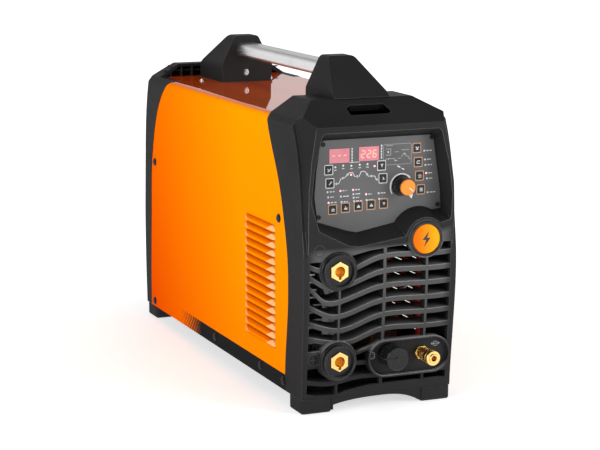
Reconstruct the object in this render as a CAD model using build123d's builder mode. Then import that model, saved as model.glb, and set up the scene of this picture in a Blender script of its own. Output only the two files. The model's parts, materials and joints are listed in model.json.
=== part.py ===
from build123d import *
from math import cos, radians, sin
import os

# Inverter TIG welding machine. Millimetres, +Z up, floor at z = 0.
# The front panel faces -Y and +X is on the right seen from the front.
# The origin is on the floor, at the middle of the machine's length and width.

# ---------------------------------------------------------------- driving dimensions
HALF_WIDTH = 102.0          # over the front and rear mouldings
FOOT_HALF_WIDTH = 100.6
FOOT_TOP = 17.7             # underside of the mouldings
ROOF_TOP = 377.6            # flat roof of both mouldings
ROOF_HALF = 68.0            # half width of the flat roof
SHOULDER_TOP = 357.0        # where the roof chamfer meets the side
WALL = 3.5
GRILLE_WALL = 6.0
LIP_DEPTH = 28.0            # how far the mouldings reach behind the cover
TIP_Y = 345.6               # reach of the connectors, front and rear

COVER_HALF = 101.0
COVER_TOP = 359.0
SHEET = 1.2
COVER_FOLD = 8.0
COVER_BOTTOM = 17.9

HOOD_SLOPE = 0.45           # fall of the hood towards the front
HOOD_CREASE_Y = -254.0

PANEL_Y = -292.0            # front of the control panel
PANEL_SHEET = 2.0
BADGE_X, BADGE_Z = 59.0, 209.0

SOCKET_CENTRES = [(-57.0, 177.5), (-57.0, 66.0)]     # X, Z of the two weld sockets
SOCKET_FLANGE_R = 23.6
SOCKET_SEAT_Y = -314.5      # face that a socket flange sits on
SOCKET_BOSS_BACK = -299.5
SOCKET_BORE_R = 6.6
SOCKET_BORE_LENGTH = 30.0
HEX_HALF = 11.2             # half the width over flats of the brass insert
TUBE_R = 10.6               # threaded tube behind the hexagon

BAR_PITCH = 18.3            # grille bars
BAR_TOP = 194.7
BAR_THICKNESS = 6.3
GRILLE_HALF = 94.0
SLAT_BACK_Y = -286.0        # the bars run back into the case as slats that rise to the rear
SLAT_RISE = 0.16
SLAT_LEVEL_Y = -309.0       # where a slat lines up with its bar
SLAT_MARGIN = 1.0           # a slat is thinner than its bar by this much above and below
LOW_BAR_THICKNESS = 5.4
GRILLE_RIBS = [(-54.5, 2.8), (5.0, 4.0), (62.0, 3.2)]    # X and width of the upright ribs
BOSS_R = 24.7               # round bosses behind the socket flanges

LOW_BAR = [(-98, 44), (-78, 39.4), (-60, 38.2), (-35, 42.4), (0, 43), (50, 43.2), (98, 43.3)]
SHORT_BAR = [(-40, 71), (-25, 75.5), (-5, 81.5), (30, 84.5)]

PLATE_CENTRE = (40.5, 62.0)  # connector recess
PLATE_LENGTH, PLATE_HEIGHT = 107.0, 42.0
PLATE_FLOOR_Y = -306.5
GAS_OUT = (57.5, 65.0)
REMOTE = (14.0, 66.0)

KNOB_X, KNOB_Z = 36.5, 273.0

BRACKET_HALF = 36.5
BRACKET_DEPTH = 93.0
BRACKET_TOP = 424.0
FRONT_BRACKET_Y = -163.5     # inner faces of the two handle brackets
REAR_BRACKET_Y = 134.6
BAR_W, BAR_H = 28.0, 18.5
BAR_Z = 404.8
BAR_INSERT = 7.0

FIT_GAP = 0.3

TRAY_HALF = 99.4
TRAY_FLOOR, TRAY_SIDE_TOP = 19.6, 47.0
TRAY_FRONT, TRAY_BACK = -221.0, 238.0
PLATE_BASE = 21.15

FOOT_W, FOOT_D = 40.0, 40.0
FOOT_CENTRES = [(-80.5, -284.0), (80.5, -284.0), (-80.5, 270.0), (80.5, 270.0)]

BUTTON_W, BUTTON_H = 8.2, 8.8
BUTTON_PROUD = 1.1
BUTTON_PLACES = {
    "button_process": (57.2, 317.7),
    "button_trigger": (59.2, 300.2),
    "button_polarity": (61.2, 283.2),
    "button_menu": (63.2, 266.0),
    "button_mode": (-54.9, 248.8),
    "button_material": (-38.0, 250.0),
    "button_display": (-21.1, 250.8),
    "button_current_type": (-4.0, 251.3),
    "button_store": (12.9, 251.7),
    "button_arc_start": (-60.2, 297.3),
    "button_arc_end": (-58.6, 281.0),
    "button_gas_test": (9.8, 298.8),
    "button_step": (11.8, 283.0),
}
LENS_W, LENS_H = 26.3, 17.2
LENS_PLACES = [(-46.3, 313.8), (-7.3, 314.4)]

GAS_BORE_R, GAS_BORE_LENGTH = 3.6, 22.0
COLLAR_R = 9.2               # wide front end of the coupling's sliding sleeve
GAS_IN_R, GAS_IN_LENGTH = 6.55, 12.0
CABLE_R = 6.5
FAN_BACK = 286.0
BRACKET_SCREW_Z = 372.0
BEZEL_BACK_Y = -198.0

SIDE_SCREWS = [(247, 234.6), (-233, 231.7), (255, 26), (-3, 29.5), (-170, 30.3), (-247, 28.8)]

FRONT_EDGE = [
    (-253, 14), (-255, 69), (-264, 130), (-263, 185), (-252, 231), (-232, 284), (-209, 324), (-198, 347),
]
REAR_EDGE = [
    (272, 14), (270, 100), (266, 173), (261, 233), (253, 264), (238, 302), (209, 339), (172, 359.3),
]
HOOD_EDGE_Y = 235.0
REAR_WALL = 4.0

SCREW_R = 2.0
TOP_SCREWS = [(-55, 168), (48, 168)]
PANEL_SCREWS = [(-67.8, 328.6), (77.0, 330.0), (-73.3, 240.5), (86.0, 246.0)]

LOUVRE_COUNT = 15
LOUVRE_PITCH = 10.43
LOUVRE_TOP_LIP = 212.6
LOUVRE_Y = -170.5            # middle of the louvre bank
LOUVRE_LENGTH = 103.0
LOUVRE_HEIGHT = 7.4
LOUVRE_DEPTH = 2.6

FAN_Z = 130.0
FAN_SLOT_PITCH = 10.0
SWITCH = (-42.0, 262.0)      # X, Z on the rear wall
GLAND = (46.0, 266.0)
GAS_IN = (74.0, 222.0)

os.makedirs("parts", exist_ok=True)


def hood_z(y):
    """Height of the sloping hood at a depth y in front of its crease."""
    return ROOF_TOP + HOOD_SLOPE * (y - HOOD_CREASE_Y)


def finish(builder, label):
    """Label a finished piece and write its STEP file."""
    builder.part.label = label
    export_step(builder.part, f"parts/{label}.step")


def facing_front(y):
    """A plane at depth y whose sketch x is +X, sketch y is +Z and normal is -Y."""
    return Plane(origin=(0, y, 0), x_dir=(1, 0, 0), z_dir=(0, -1, 0))


def facing_rear(y):
    """A plane at depth y whose normal is +Y; sketch x is -X and sketch y is +Z."""
    return Plane(origin=(0, y, 0), x_dir=(-1, 0, 0), z_dir=(0, 1, 0))


def case_section(half, low_half, roof, roof_half, shoulder, y_front, y_back, bottom):
    """Case cross-section run along Y: upright sides, chamfered shoulders and a flat roof."""
    with BuildPart(mode=Mode.PRIVATE) as case:
        with BuildSketch(facing_front(y_back)):
            with BuildLine():
                Polyline(
                    (-low_half, bottom), (-half, 150), (-half, shoulder - 6), (-half + 5, shoulder + 2),
                    (-roof_half, roof), (roof_half, roof), (half - 5, shoulder + 2),
                    (half, shoulder - 6), (half, 150), (low_half, bottom), close=True,
                )
            make_face()
        extrude(amount=y_back - y_front)
    return case.part


def side_profile(curve, corners, half=HALF_WIDTH + 5):
    """Solid run across X from a side outline: a smooth curve closed by straight corners (Y, Z)."""
    with BuildPart(mode=Mode.PRIVATE) as block:
        with BuildSketch(Plane.YZ):
            with BuildLine():
                Spline(*curve)
                Polyline(curve[-1], *corners, curve[0])
            make_face()
        extrude(amount=half, both=True)
    return block.part


def front_form(inset, front_wall):
    """Receding front moulding: outer form for inset 0, its hollow for a wall thickness."""
    curve = [
        (-303 + front_wall, FOOT_TOP - 20), (-308.5 + front_wall, 85), (-313.6 + front_wall, 150),
        (-313.6 + front_wall, 195), (-307.6 + front_wall, 240), (-301 + inset, 288),
        (-292 + inset, 323), (-276 + inset, 358),
    ]
    crease = HOOD_CREASE_Y + 0.2 * inset
    corners = [
        (-267 + inset, hood_z(-267) - inset), (crease, ROOF_TOP - inset),
        (-150, ROOF_TOP - inset), (-150, FOOT_TOP - 20),
    ]
    section = case_section(
        HALF_WIDTH - 1.45 * inset, FOOT_HALF_WIDTH - 1.45 * inset, ROOF_TOP - inset,
        ROOF_HALF - 0.4 * inset, SHOULDER_TOP - 1.2 * inset, -330, -150,
        FOOT_TOP + inset,
    )
    return side_profile(curve, corners) & section


def surround_form():
    """Panel surround that stands proud of the receding shell, drafted wider towards the back."""
    front = [(95.5, 186), (97, 240), (96, 277), (91, 312), (72, 385)]
    back = [(101.8, 186), (101.8, 240), (101.8, 277), (101.5, 325), (97, 385)]

    def outline(points):
        with BuildSketch() as face:
            with BuildLine():
                Polyline(
                    *points, *[(-x, z) for x, z in reversed(points)], close=True,
                )
            make_face()
        return face.sketch

    with BuildPart(mode=Mode.PRIVATE) as drafted:
        with BuildSketch(facing_front(-279)):
            add(outline(back))
        with BuildSketch(facing_front(-319)):
            add(outline(front))
        loft(ruled=True)
        with BuildSketch(facing_front(-250)):
            add(outline(back))
        extrude(amount=29)
    curve = [(-313.7, 186), (-316.6, 225), (-317.2, 260), (-315.6, 305), (-312, hood_z(-312))]
    corners = [(HOOD_CREASE_Y, ROOF_TOP), (-250, ROOF_TOP), (-250, 186)]
    section = case_section(
        HALF_WIDTH, FOOT_HALF_WIDTH, ROOF_TOP, ROOF_HALF, SHOULDER_TOP, -330, -200, FOOT_TOP,
    )
    return drafted.part & side_profile(curve, corners) & section


def pocket_outline(depth_ratio, grow=0.0):
    """Outline of the panel recess: 0 at the surround's face, 1 at the panel.

    The lower right corner swings round the badge on an arc that grows with depth.
    """
    def mix(a, b):
        return a + (b - a) * depth_ratio

    arc_r = mix(26.0, 35.0) - grow
    start = radians(mix(43, 57))
    end = radians(mix(173, 151) + 0.8 * grow)
    middle = (start + end) / 2

    def around_badge(angle):
        return (BADGE_X + arc_r * cos(angle), BADGE_Z + arc_r * sin(angle))

    right = [
        around_badge(start),
        (mix(93, 92) + grow, mix(231, 240) - grow), (mix(94.5, 91) + grow, mix(262, 265)),
        (mix(90.5, 86) + grow, mix(300, 297)), (mix(80, 80.5) + grow, mix(346.5, 335) + grow),
    ]
    left = [
        (-mix(78.5, 72) - grow, mix(346.5, 335) + grow), (-mix(90.5, 78) - grow, mix(300, 297)),
        (-mix(94.5, 80.5) - grow, mix(262, 265)), (-mix(83, 76.5) - grow, mix(227, 233) - grow),
        (-mix(45, 36) - grow, mix(206, 219.5) - grow), (-mix(32, 23), mix(203.5, 217) - grow),
        around_badge(end),
    ]
    with BuildSketch() as face:
        with BuildLine():
            ThreePointArc(around_badge(end), around_badge(middle), around_badge(start))
            Polyline(*right)
            Line(right[-1], left[0])
            Polyline(*left)
        make_face()
        fillet(face.vertices().group_by(Axis.Y)[-1], 6)
    return face.sketch


def pocket_form(y_floor, grow=0.0):
    """Tapered solid that fills the panel recess from in front of the surround to y_floor."""
    deepest = (-319.0 - y_floor) / (-319.0 - PANEL_Y)
    with BuildPart(mode=Mode.PRIVATE) as pocket:
        with BuildSketch(facing_front(y_floor)):
            add(pocket_outline(deepest, grow))
        with BuildSketch(facing_front(-319.0)):
            add(pocket_outline(0.0, grow))
        loft(ruled=True)
    return pocket.part


def edge_keep(edge, shift, towards):
    """Everything on one side of the curved line where a moulding meets the orange cover."""
    top_y = edge[-1][0]
    with BuildPart(mode=Mode.PRIVATE) as keep:
        with BuildSketch(Plane.YZ):
            with BuildLine():
                moved = [(y + shift, z) for y, z in edge]
                Spline(*moved)
                Polyline(moved[-1], (top_y + shift, 470), (towards, 470), (towards, edge[0][1]), moved[0])
            make_face()
        extrude(amount=140, both=True)
    return keep.part


def bar_line(number):
    """Upper edge of one grille bar, from its raised left end through a valley to the level right."""
    level = BAR_TOP - BAR_PITCH * number
    valley = [(-70, -42), (-72, -48), (-74, -51), (-65, -51), (-57, -50), (-50, -43)][number]
    drop = [14.5, 15.5, 15.5, 15.7, 15.6, 13.8][number]
    left_z = [-7.0, -1.5, 3.5, -2.0, -5.2, -5.6][number]
    low = level - drop
    return [
        (-GRILLE_HALF - 4, level + left_z + 2),
        ((valley[0] - GRILLE_HALF) / 2, (low + level + left_z) / 2 - 1),
        (valley[0], low), (valley[1], low), (-5, level - 2), (40, level - 0.4), (GRILLE_HALF + 4, level),
    ]


def ribbon(top_line, thickness):
    """A bar face between a smooth upper edge and the same edge moved down."""
    bottom_line = [(x, z - thickness) for x, z in top_line]
    with BuildSketch() as face:
        with BuildLine():
            Spline(*top_line)
            Line(top_line[-1], bottom_line[-1])
            Spline(*bottom_line)
            Line(bottom_line[0], top_line[0])
        make_face()
    return face.sketch


def bar_faces(margin):
    """The level grille bars and the low bar as one sketch, thinned by a margin above and below."""
    with BuildSketch() as face:
        for bar in range(6):
            add(ribbon([(x, z - margin) for x, z in bar_line(bar)], BAR_THICKNESS - 2 * margin))
        add(ribbon([(x, z - margin) for x, z in LOW_BAR], LOW_BAR_THICKNESS - 2 * margin))
    return face.sketch


def fitting_areas():
    """The parts of the grille taken up by the socket bosses, the badge seat and the connector recess."""
    with BuildSketch() as face:
        with Locations(*SOCKET_CENTRES):
            Circle(BOSS_R)
        with Locations((BADGE_X, BADGE_Z)):
            Circle(24.0)
        with Locations(PLATE_CENTRE):
            SlotOverall(PLATE_LENGTH + 5, PLATE_HEIGHT + 5)
    return face.sketch


# ---------------------------------------------------------------- grille: slots, and the slats behind the bars
with BuildSketch(facing_front(-270)) as grille_slots:
    with BuildLine():
        Polyline(
            (-GRILLE_HALF, 190), (-72, 190), (-36, 195.5), (-14, 200), (20, 203), (GRILLE_HALF, 204),
            (GRILLE_HALF, 28.7), (-10, 28.7), (-38, 24.4), (-58, 20.4), (-78, 21.2), (-GRILLE_HALF, 25),
            close=True,
        )
    make_face()
    add(bar_faces(0), mode=Mode.SUBTRACT)
    add(ribbon(SHORT_BAR, 5.0), mode=Mode.SUBTRACT)
    with Locations((-22, 58.5)):
        Rectangle(36, 5, mode=Mode.SUBTRACT)
    for rib_x, rib_width in GRILLE_RIBS:
        with Locations((rib_x, 115)):
            Rectangle(rib_width, 230, mode=Mode.SUBTRACT)
    add(fitting_areas(), mode=Mode.SUBTRACT)
    with Locations((-85, 68)):
        Rectangle(24, 22, mode=Mode.SUBTRACT)

slat_plane = Plane(
    origin=(0, SLAT_BACK_Y, SLAT_RISE * (SLAT_BACK_Y - SLAT_LEVEL_Y)), x_dir=(1, 0, 0), z_dir=(0, -1, 0),
)
with BuildPart() as grille_slats:
    with BuildSketch(slat_plane):
        add(bar_faces(SLAT_MARGIN))
    extrude(amount=32, dir=(0, -1, -SLAT_RISE))
    for rib_x, rib_width in GRILLE_RIBS:
        with BuildSketch(facing_front(-300.2)):
            with Locations((rib_x, 112)):
                Rectangle(rib_width - 0.4, 150)
        extrude(amount=12)
    with BuildSketch(facing_front(-270)):
        add(fitting_areas())
    extrude(amount=60, mode=Mode.SUBTRACT)
    add(front_form(1.5, 1.5), mode=Mode.INTERSECT)


def lip_shell(y_front, y_back):
    """Thin shell just inside the orange cover that the cover's edges are screwed to."""
    outer = case_section(
        COVER_HALF - SHEET - FIT_GAP, COVER_HALF - SHEET - FIT_GAP, COVER_TOP - SHEET - FIT_GAP,
        86, COVER_TOP - 12, y_front, y_back, FOOT_TOP + 2,
    )
    hollow = case_section(
        HALF_WIDTH - 5.1, FOOT_HALF_WIDTH - 5.1, COVER_TOP - SHEET - 2.6, 82, COVER_TOP - 16,
        y_front, y_back, FOOT_TOP + 4.5,
    )
    return outer, hollow


# ---------------------------------------------------------------- front moulding
front_outer = front_form(0, 0) + surround_form()
front_hollow = front_form(WALL, GRILLE_WALL)
front_lip_outer, front_lip_hollow = lip_shell(-330, -150)
front_lip = front_lip_outer & edge_keep(FRONT_EDGE, LIP_DEPTH, -400) - edge_keep(FRONT_EDGE, -6, -400)

with BuildPart() as front_bezel:
    add(front_outer & edge_keep(FRONT_EDGE, 0, -400))
    add(front_hollow, mode=Mode.SUBTRACT)
    add(front_lip - front_lip_hollow)
    # back wall that closes the hood above the cover, with three air slots
    with BuildSketch(facing_front(BEZEL_BACK_Y)):
        with Locations((0, 367.5)):
            Rectangle(140, 16)
    extrude(amount=2.5)
    with BuildSketch(facing_front(-190)):
        with Locations((-52, 368), (52, 368)):
            Rectangle(24, 8)
    extrude(amount=20, mode=Mode.SUBTRACT)
    # walls of the panel recess and the ledge behind the panel
    add((pocket_form(PANEL_Y + PANEL_SHEET + 3, 3.0) & front_outer), mode=Mode.ADD)
    add(pocket_form(PANEL_Y + PANEL_SHEET), mode=Mode.SUBTRACT)
    with BuildSketch(facing_front(PANEL_Y + 12)):
        with BuildLine():
            Polyline(
                (-66, 241), (-20, 228), (20, 238), (62, 252), (82, 258), (78, 296), (69, 326), (-62.5, 326),
                (-70, 296), close=True,
            )
        make_face()
    extrude(amount=14, mode=Mode.SUBTRACT)
    # bosses behind the weld sockets and the connector recess
    for x, z in SOCKET_CENTRES:
        with BuildSketch(facing_front(SOCKET_BOSS_BACK)):
            with Locations((x, z)):
                Circle(BOSS_R)
        extrude(amount=SOCKET_BOSS_BACK - SOCKET_SEAT_Y)
        with BuildSketch(facing_front(SOCKET_SEAT_Y)):
            with Locations((x, z)):
                Circle(SOCKET_FLANGE_R + 0.3)
        extrude(amount=10, mode=Mode.SUBTRACT)
    with BuildSketch(facing_front(-300)):
        with Locations(PLATE_CENTRE):
            SlotOverall(PLATE_LENGTH + 5, PLATE_HEIGHT + 5)
    extrude(amount=12.4)
    with BuildSketch(facing_front(PLATE_FLOOR_Y)):
        with Locations(PLATE_CENTRE):
            SlotOverall(PLATE_LENGTH, PLATE_HEIGHT)
    extrude(amount=20, mode=Mode.SUBTRACT)
    # badge seat
    with BuildSketch(facing_front(-306)):
        with Locations((BADGE_X, BADGE_Z)):
            Circle(23.5)
    extrude(amount=11.6)
    with BuildSketch(facing_front(-316)):
        with Locations((BADGE_X, BADGE_Z)):
            Circle(22.3)
    extrude(amount=10, mode=Mode.SUBTRACT)
    # grille slots, the slats behind the bars, and room for the sockets' nuts
    extrude(grille_slots.sketch, amount=60, mode=Mode.SUBTRACT)
    add(grille_slats.part)
    with BuildSketch(facing_front(-270)):
        with Locations(*SOCKET_CENTRES):
            Circle(BOSS_R - 0.7)
    extrude(amount=-270 - SOCKET_BOSS_BACK, mode=Mode.SUBTRACT)
    # bores for the sockets and the connectors
    with BuildSketch(facing_front(-280)):
        with Locations(*SOCKET_CENTRES):
            Circle(17.0)
    extrude(amount=60, mode=Mode.SUBTRACT)
    with BuildSketch(facing_front(-280)):
        with Locations(REMOTE):
            Circle(8.3)
        with Locations(GAS_OUT):
            Circle(6.6)
    extrude(amount=60, mode=Mode.SUBTRACT)
    # slanted air slot in the hood
    with BuildSketch(Plane.XY.offset(350)) as hood_slot:
        with BuildLine():
            Polyline((-30, -289), (20, -289), (26, -284), (22, -268), (-22, -268), (-30, -274), close=True)
        make_face()
        fillet(hood_slot.vertices(), 2.4)
    extrude(amount=40, mode=Mode.SUBTRACT)
    # skirt that arches down between the feet
    with BuildSketch(facing_front(-296)):
        with BuildLine():
            Polyline((-60.5, 2.2), (-60.5, FOOT_TOP + 3), (60.5, FOOT_TOP + 3), (60.5, 2.2), (58, 2.2))
            Spline((58, 2.2), (35, 11.5), (0, 13.8), (-35, 12), (-58, 8.2))
            Polyline((-58, 8.2), (-58, 2.2), (-60.5, 2.2))
        make_face()
    extrude(amount=6.5)

    # pilot holes for the side screws that hold the cover to the lip
    with BuildSketch(Plane.YZ.offset(-HALF_WIDTH)):
        with Locations(*[(y, z) for y, z in SIDE_SCREWS if y < -200]):
            Circle(SCREW_R + 0.05)
    extrude(amount=2 * HALF_WIDTH, mode=Mode.SUBTRACT)
    with BuildSketch(facing_front(-280)):
        with Locations(*PANEL_SCREWS):
            Circle(1.55)
    extrude(amount=15, mode=Mode.SUBTRACT)

finish(front_bezel, "front_bezel")

# ---------------------------------------------------------------- rear moulding


def rear_form(inset, rear_wall):
    """Rear moulding: outer form for inset 0, its hollow for a wall thickness."""
    curve = [
        (292 - rear_wall, FOOT_TOP - 20), (295 - rear_wall, 70), (293.5 - rear_wall, 150),
        (288 - rear_wall, 245), (283 - inset, 298), (270 - inset, 350), (262 - inset, 369),
    ]
    corners = [
        (256 - inset, ROOF_TOP - inset), (150, ROOF_TOP - inset), (150, FOOT_TOP - 20),
    ]
    section = case_section(
        HALF_WIDTH - 1.45 * inset, FOOT_HALF_WIDTH - 1.45 * inset, ROOF_TOP - inset,
        ROOF_HALF - 0.4 * inset, SHOULDER_TOP - 1.2 * inset, 100, 330, FOOT_TOP + inset,
    )
    return side_profile(curve, corners) & section


rear_lip_outer, rear_lip_hollow = lip_shell(100, 330)
rear_lip = rear_lip_outer & edge_keep(REAR_EDGE, -LIP_DEPTH, 400) - edge_keep(REAR_EDGE, 6, 400)

with BuildPart() as rear_bezel:
    add(rear_form(0, 0) & edge_keep(REAR_EDGE, 0, 400))
    add(rear_form(WALL, REAR_WALL), mode=Mode.SUBTRACT)
    add(rear_lip - rear_lip_hollow)
    # the roof starts well behind the shoulders and leaves the cover's top in view
    with BuildSketch(Plane.XY.offset(COVER_TOP + 0.3)):
        with Locations((0, 192)):
            Rectangle(2 * HALF_WIDTH + 10, 2 * (HOOD_EDGE_Y - 192))
    extrude(amount=40, mode=Mode.SUBTRACT)
    # thin upright ribs in the hood's mouth
    with BuildSketch(facing_rear(HOOD_EDGE_Y + 1)):
        with Locations(*[(x, 367.5) for x in (-78, -62, -46, 46, 62, 78)]):
            Rectangle(1.6, 15.4)
    extrude(amount=14)
    with BuildSketch(facing_rear(HOOD_EDGE_Y + 4)):
        with Locations((0, 368.0)):
            Rectangle(178, 1.4)
    extrude(amount=8)
    # fan grille: level slots between three uprights
    with BuildSketch(facing_rear(270)):
        with Locations((0, FAN_Z)):
            with GridLocations(1, FAN_SLOT_PITCH, 1, 13):
                Rectangle(126, FAN_SLOT_PITCH - 4.4)
        with Locations((-32, FAN_Z), (0, FAN_Z), (32, FAN_Z)):
            Rectangle(4, 150, mode=Mode.SUBTRACT)
    extrude(amount=40, mode=Mode.SUBTRACT)
    # flat seats for the mains switch, the cable gland and the gas inlet
    with BuildSketch(facing_rear(282)):
        with Locations((-SWITCH[0], SWITCH[1])):
            RectangleRounded(62, 62, 6)
        with Locations((-GLAND[0], GLAND[1])):
            Circle(20)
        with Locations((-GAS_IN[0], GAS_IN[1])):
            Circle(13)
    extrude(amount=9)
    with BuildSketch(facing_rear(270)):
        with Locations((-SWITCH[0], SWITCH[1])):
            Circle(6.0)
        with Locations((-GLAND[0], GLAND[1])):
            Circle(10.1)
        with Locations((-GAS_IN[0], GAS_IN[1])):
            Circle(6.7)
    extrude(amount=40, mode=Mode.SUBTRACT)
    with BuildSketch(Plane.YZ.offset(-HALF_WIDTH)):
        with Locations(*[(y, z) for y, z in SIDE_SCREWS if y > 200]):
            Circle(SCREW_R + 0.05)
    extrude(amount=2 * HALF_WIDTH, mode=Mode.SUBTRACT)
    with BuildSketch(Plane.XY.offset(340)):
        with Locations(*TOP_SCREWS):
            Circle(SCREW_R + 0.05)
    extrude(amount=30, mode=Mode.SUBTRACT)

finish(rear_bezel, "rear_bezel")

# ---------------------------------------------------------------- orange cover


def cover_prism(half, top, fold, y_front, y_back):
    """Upright rectangle with rounded top corners, run along Y."""
    with BuildPart(mode=Mode.PRIVATE) as prism:
        with BuildSketch(facing_front(y_back)) as section:
            with BuildLine():
                Polyline((-half, COVER_BOTTOM), (-half, top), (half, top), (half, COVER_BOTTOM), close=True)
            make_face()
            fillet(section.vertices().group_by(Axis.Y)[-1], fold)
        extrude(amount=y_back - y_front)
    return prism.part


def louvre_form(height, depth, side):
    """Blister with a level open lip: quarter-ellipse section, quarter-dome ends.

    The lip is at Z 0 and the blister rises to `height`; it stands `depth` out of the sheet.
    """
    half_run = LOUVRE_LENGTH / 2 - LOUVRE_HEIGHT
    with BuildPart(mode=Mode.PRIVATE) as blister:
        for end, sweep in ((-1, -90), (1, 90)):
            with BuildSketch(Plane(origin=(0, end * half_run, 0), x_dir=(0, 0, 1), z_dir=(0, 1, 0))):
                add(louvre_section(height, depth, side))
            revolve(axis=Axis((0, end * half_run, 0), (1, 0, 0)), revolution_arc=-sweep)
        with BuildSketch(Plane(origin=(0, -half_run, 0), x_dir=(0, 0, 1), z_dir=(0, 1, 0))):
            add(louvre_section(height, depth, side))
        extrude(amount=2 * half_run)
    return blister.part


def louvre_section(height, depth, side):
    """Quarter ellipse with its base a little inside the sheet; sketch x is +Z and sketch y is +X."""
    with BuildSketch() as face:
        with BuildLine():
            Line((0, -side * SHEET), (0, side * depth))
            Polyline((height, 0), (height, -side * SHEET), (0, -side * SHEET))
            Spline(
                (0, side * depth), (height * 0.5, side * depth * 0.866),
                (height * 0.87, side * depth * 0.5), (height, 0), tangents=((1, 0), (0, -side)),
            )
        make_face()
    return face.sketch


louvre_places = [(LOUVRE_Y, LOUVRE_TOP_LIP - LOUVRE_PITCH * row) for row in range(LOUVRE_COUNT)]

# the flat top runs on between the rear moulding's arms, under its hood
with BuildPart() as cover_top_block:
    with BuildSketch(Plane.XY.offset(COVER_TOP - SHEET - 0.1)):
        Rectangle(2 * 85.5, 2 * 248)
    extrude(amount=3)

with BuildPart() as top_cover:
    add(cover_prism(COVER_HALF, COVER_TOP, COVER_FOLD, -262, 285))
    for side in (-1, 1):
        outer = louvre_form(LOUVRE_HEIGHT, LOUVRE_DEPTH, side)
        with Locations(*[(side * COVER_HALF, y, z) for y, z in louvre_places]):
            add(outer)
    add(cover_prism(COVER_HALF - SHEET, COVER_TOP - SHEET, COVER_FOLD - SHEET, -300, 300), mode=Mode.SUBTRACT)
    for side in (-1, 1):
        inner = louvre_form(LOUVRE_HEIGHT - 0.9, LOUVRE_DEPTH - 0.9, side)
        with Locations(*[(side * COVER_HALF, y, z - 0.01) for y, z in louvre_places]):
            add(inner, mode=Mode.SUBTRACT)
    # open underside of the prism
    with BuildSketch(Plane.XY.offset(COVER_BOTTOM - 1)):
        Rectangle(2 * (COVER_HALF - SHEET), 700)
    extrude(amount=20, mode=Mode.SUBTRACT)
    # front and rear edges follow the mouldings
    add(edge_keep(FRONT_EDGE, 0.5, 400), mode=Mode.INTERSECT)
    add(edge_keep(REAR_EDGE, -0.5, -400) + cover_top_block.part, mode=Mode.INTERSECT)
    with BuildSketch(Plane.YZ.offset(-HALF_WIDTH)):
        with Locations(*SIDE_SCREWS):
            Circle(SCREW_R + 0.3)
    extrude(amount=2 * HALF_WIDTH, mode=Mode.SUBTRACT)
    with BuildSketch(Plane.XY.offset(COVER_TOP - 3)):
        with Locations(*TOP_SCREWS):
            Circle(SCREW_R + 0.05)
    extrude(amount=6, mode=Mode.SUBTRACT)

finish(top_cover, "top_cover")

# ---------------------------------------------------------------- tray, partition and feet
with BuildPart() as base_tray:
    with BuildSketch(facing_front(TRAY_BACK)):
        with BuildLine():
            Polyline(
                (-TRAY_HALF, TRAY_SIDE_TOP), (-TRAY_HALF, TRAY_FLOOR), (TRAY_HALF, TRAY_FLOOR),
                (TRAY_HALF, TRAY_SIDE_TOP), (TRAY_HALF - 1.5, TRAY_SIDE_TOP),
                (TRAY_HALF - 1.5, TRAY_FLOOR + 1.5), (-TRAY_HALF + 1.5, TRAY_FLOOR + 1.5),
                (-TRAY_HALF + 1.5, TRAY_SIDE_TOP), close=True,
            )
        make_face()
    extrude(amount=TRAY_BACK - TRAY_FRONT)
    with BuildSketch(Plane.YZ.offset(-HALF_WIDTH)):
        with Locations(*[(y, z) for y, z in SIDE_SCREWS if abs(y) < 200]):
            Circle(SCREW_R + 0.05)
    extrude(amount=2 * HALF_WIDTH, mode=Mode.SUBTRACT)
    with BuildSketch(Plane.XY):
        with GridLocations(60, 26, 2, 9):
            SlotOverall(40, 5)
    extrude(amount=30, mode=Mode.SUBTRACT)
finish(base_tray, "base_tray")

with BuildPart() as centre_plate:
    with BuildSketch(Plane.YZ.offset(-1)):
        with BuildLine():
            Polyline(
                (-215, PLATE_BASE), (235, PLATE_BASE), (235, 225), (195, 345), (-170, 345), (-215, 230),
                close=True,
            )
        make_face()
        with Locations((0, 315), (120, 315)):
            Circle(12, mode=Mode.SUBTRACT)
    extrude(amount=2)
finish(centre_plate, "centre_plate")

with BuildPart() as corner_feet:
    with Locations(*FOOT_CENTRES):
        Box(FOOT_W, FOOT_D, FOOT_TOP, align=(Align.CENTER, Align.CENTER, Align.MIN))
    fillet(corner_feet.edges().filter_by(Axis.Z), 4)
    chamfer(corner_feet.faces().group_by(Axis.Z)[0].edges(), 1.5)
finish(corner_feet, "corner_feet")

# ---------------------------------------------------------------- screws


def screw_stack(head_r, head_h, washer_r, shank, drive=0.0):
    """Pan-head screw with a washer along +Z; the washer's back is at Z 0 and the shank points down."""
    with BuildPart(mode=Mode.PRIVATE) as screw:
        Cylinder(washer_r, 0.9, align=(Align.CENTER, Align.CENTER, Align.MIN))
        with BuildSketch(Plane.XY.offset(0.8)):
            Circle(head_r)
        extrude(amount=head_h, taper=14)
        Cylinder(SCREW_R, shank, align=(Align.CENTER, Align.CENTER, Align.MAX))
        if drive:
            with BuildSketch(Plane.XY.offset(head_h + 0.9)):
                RegularPolygon(drive, 6)
            extrude(amount=-1.5, mode=Mode.SUBTRACT)
    return screw.part


def panel_screw():
    """Small cross-head screw along +Z; the head's back is at Z 0."""
    with BuildPart(mode=Mode.PRIVATE) as screw:
        Cylinder(2.7, 1.4, align=(Align.CENTER, Align.CENTER, Align.MIN))
        Cylinder(1.5, 7, align=(Align.CENTER, Align.CENTER, Align.MAX))
        with BuildSketch(Plane.XY.offset(1.4)):
            Rectangle(3.4, 0.8)
            Rectangle(0.8, 3.4)
        extrude(amount=-0.8, mode=Mode.SUBTRACT)
    return screw.part


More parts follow.
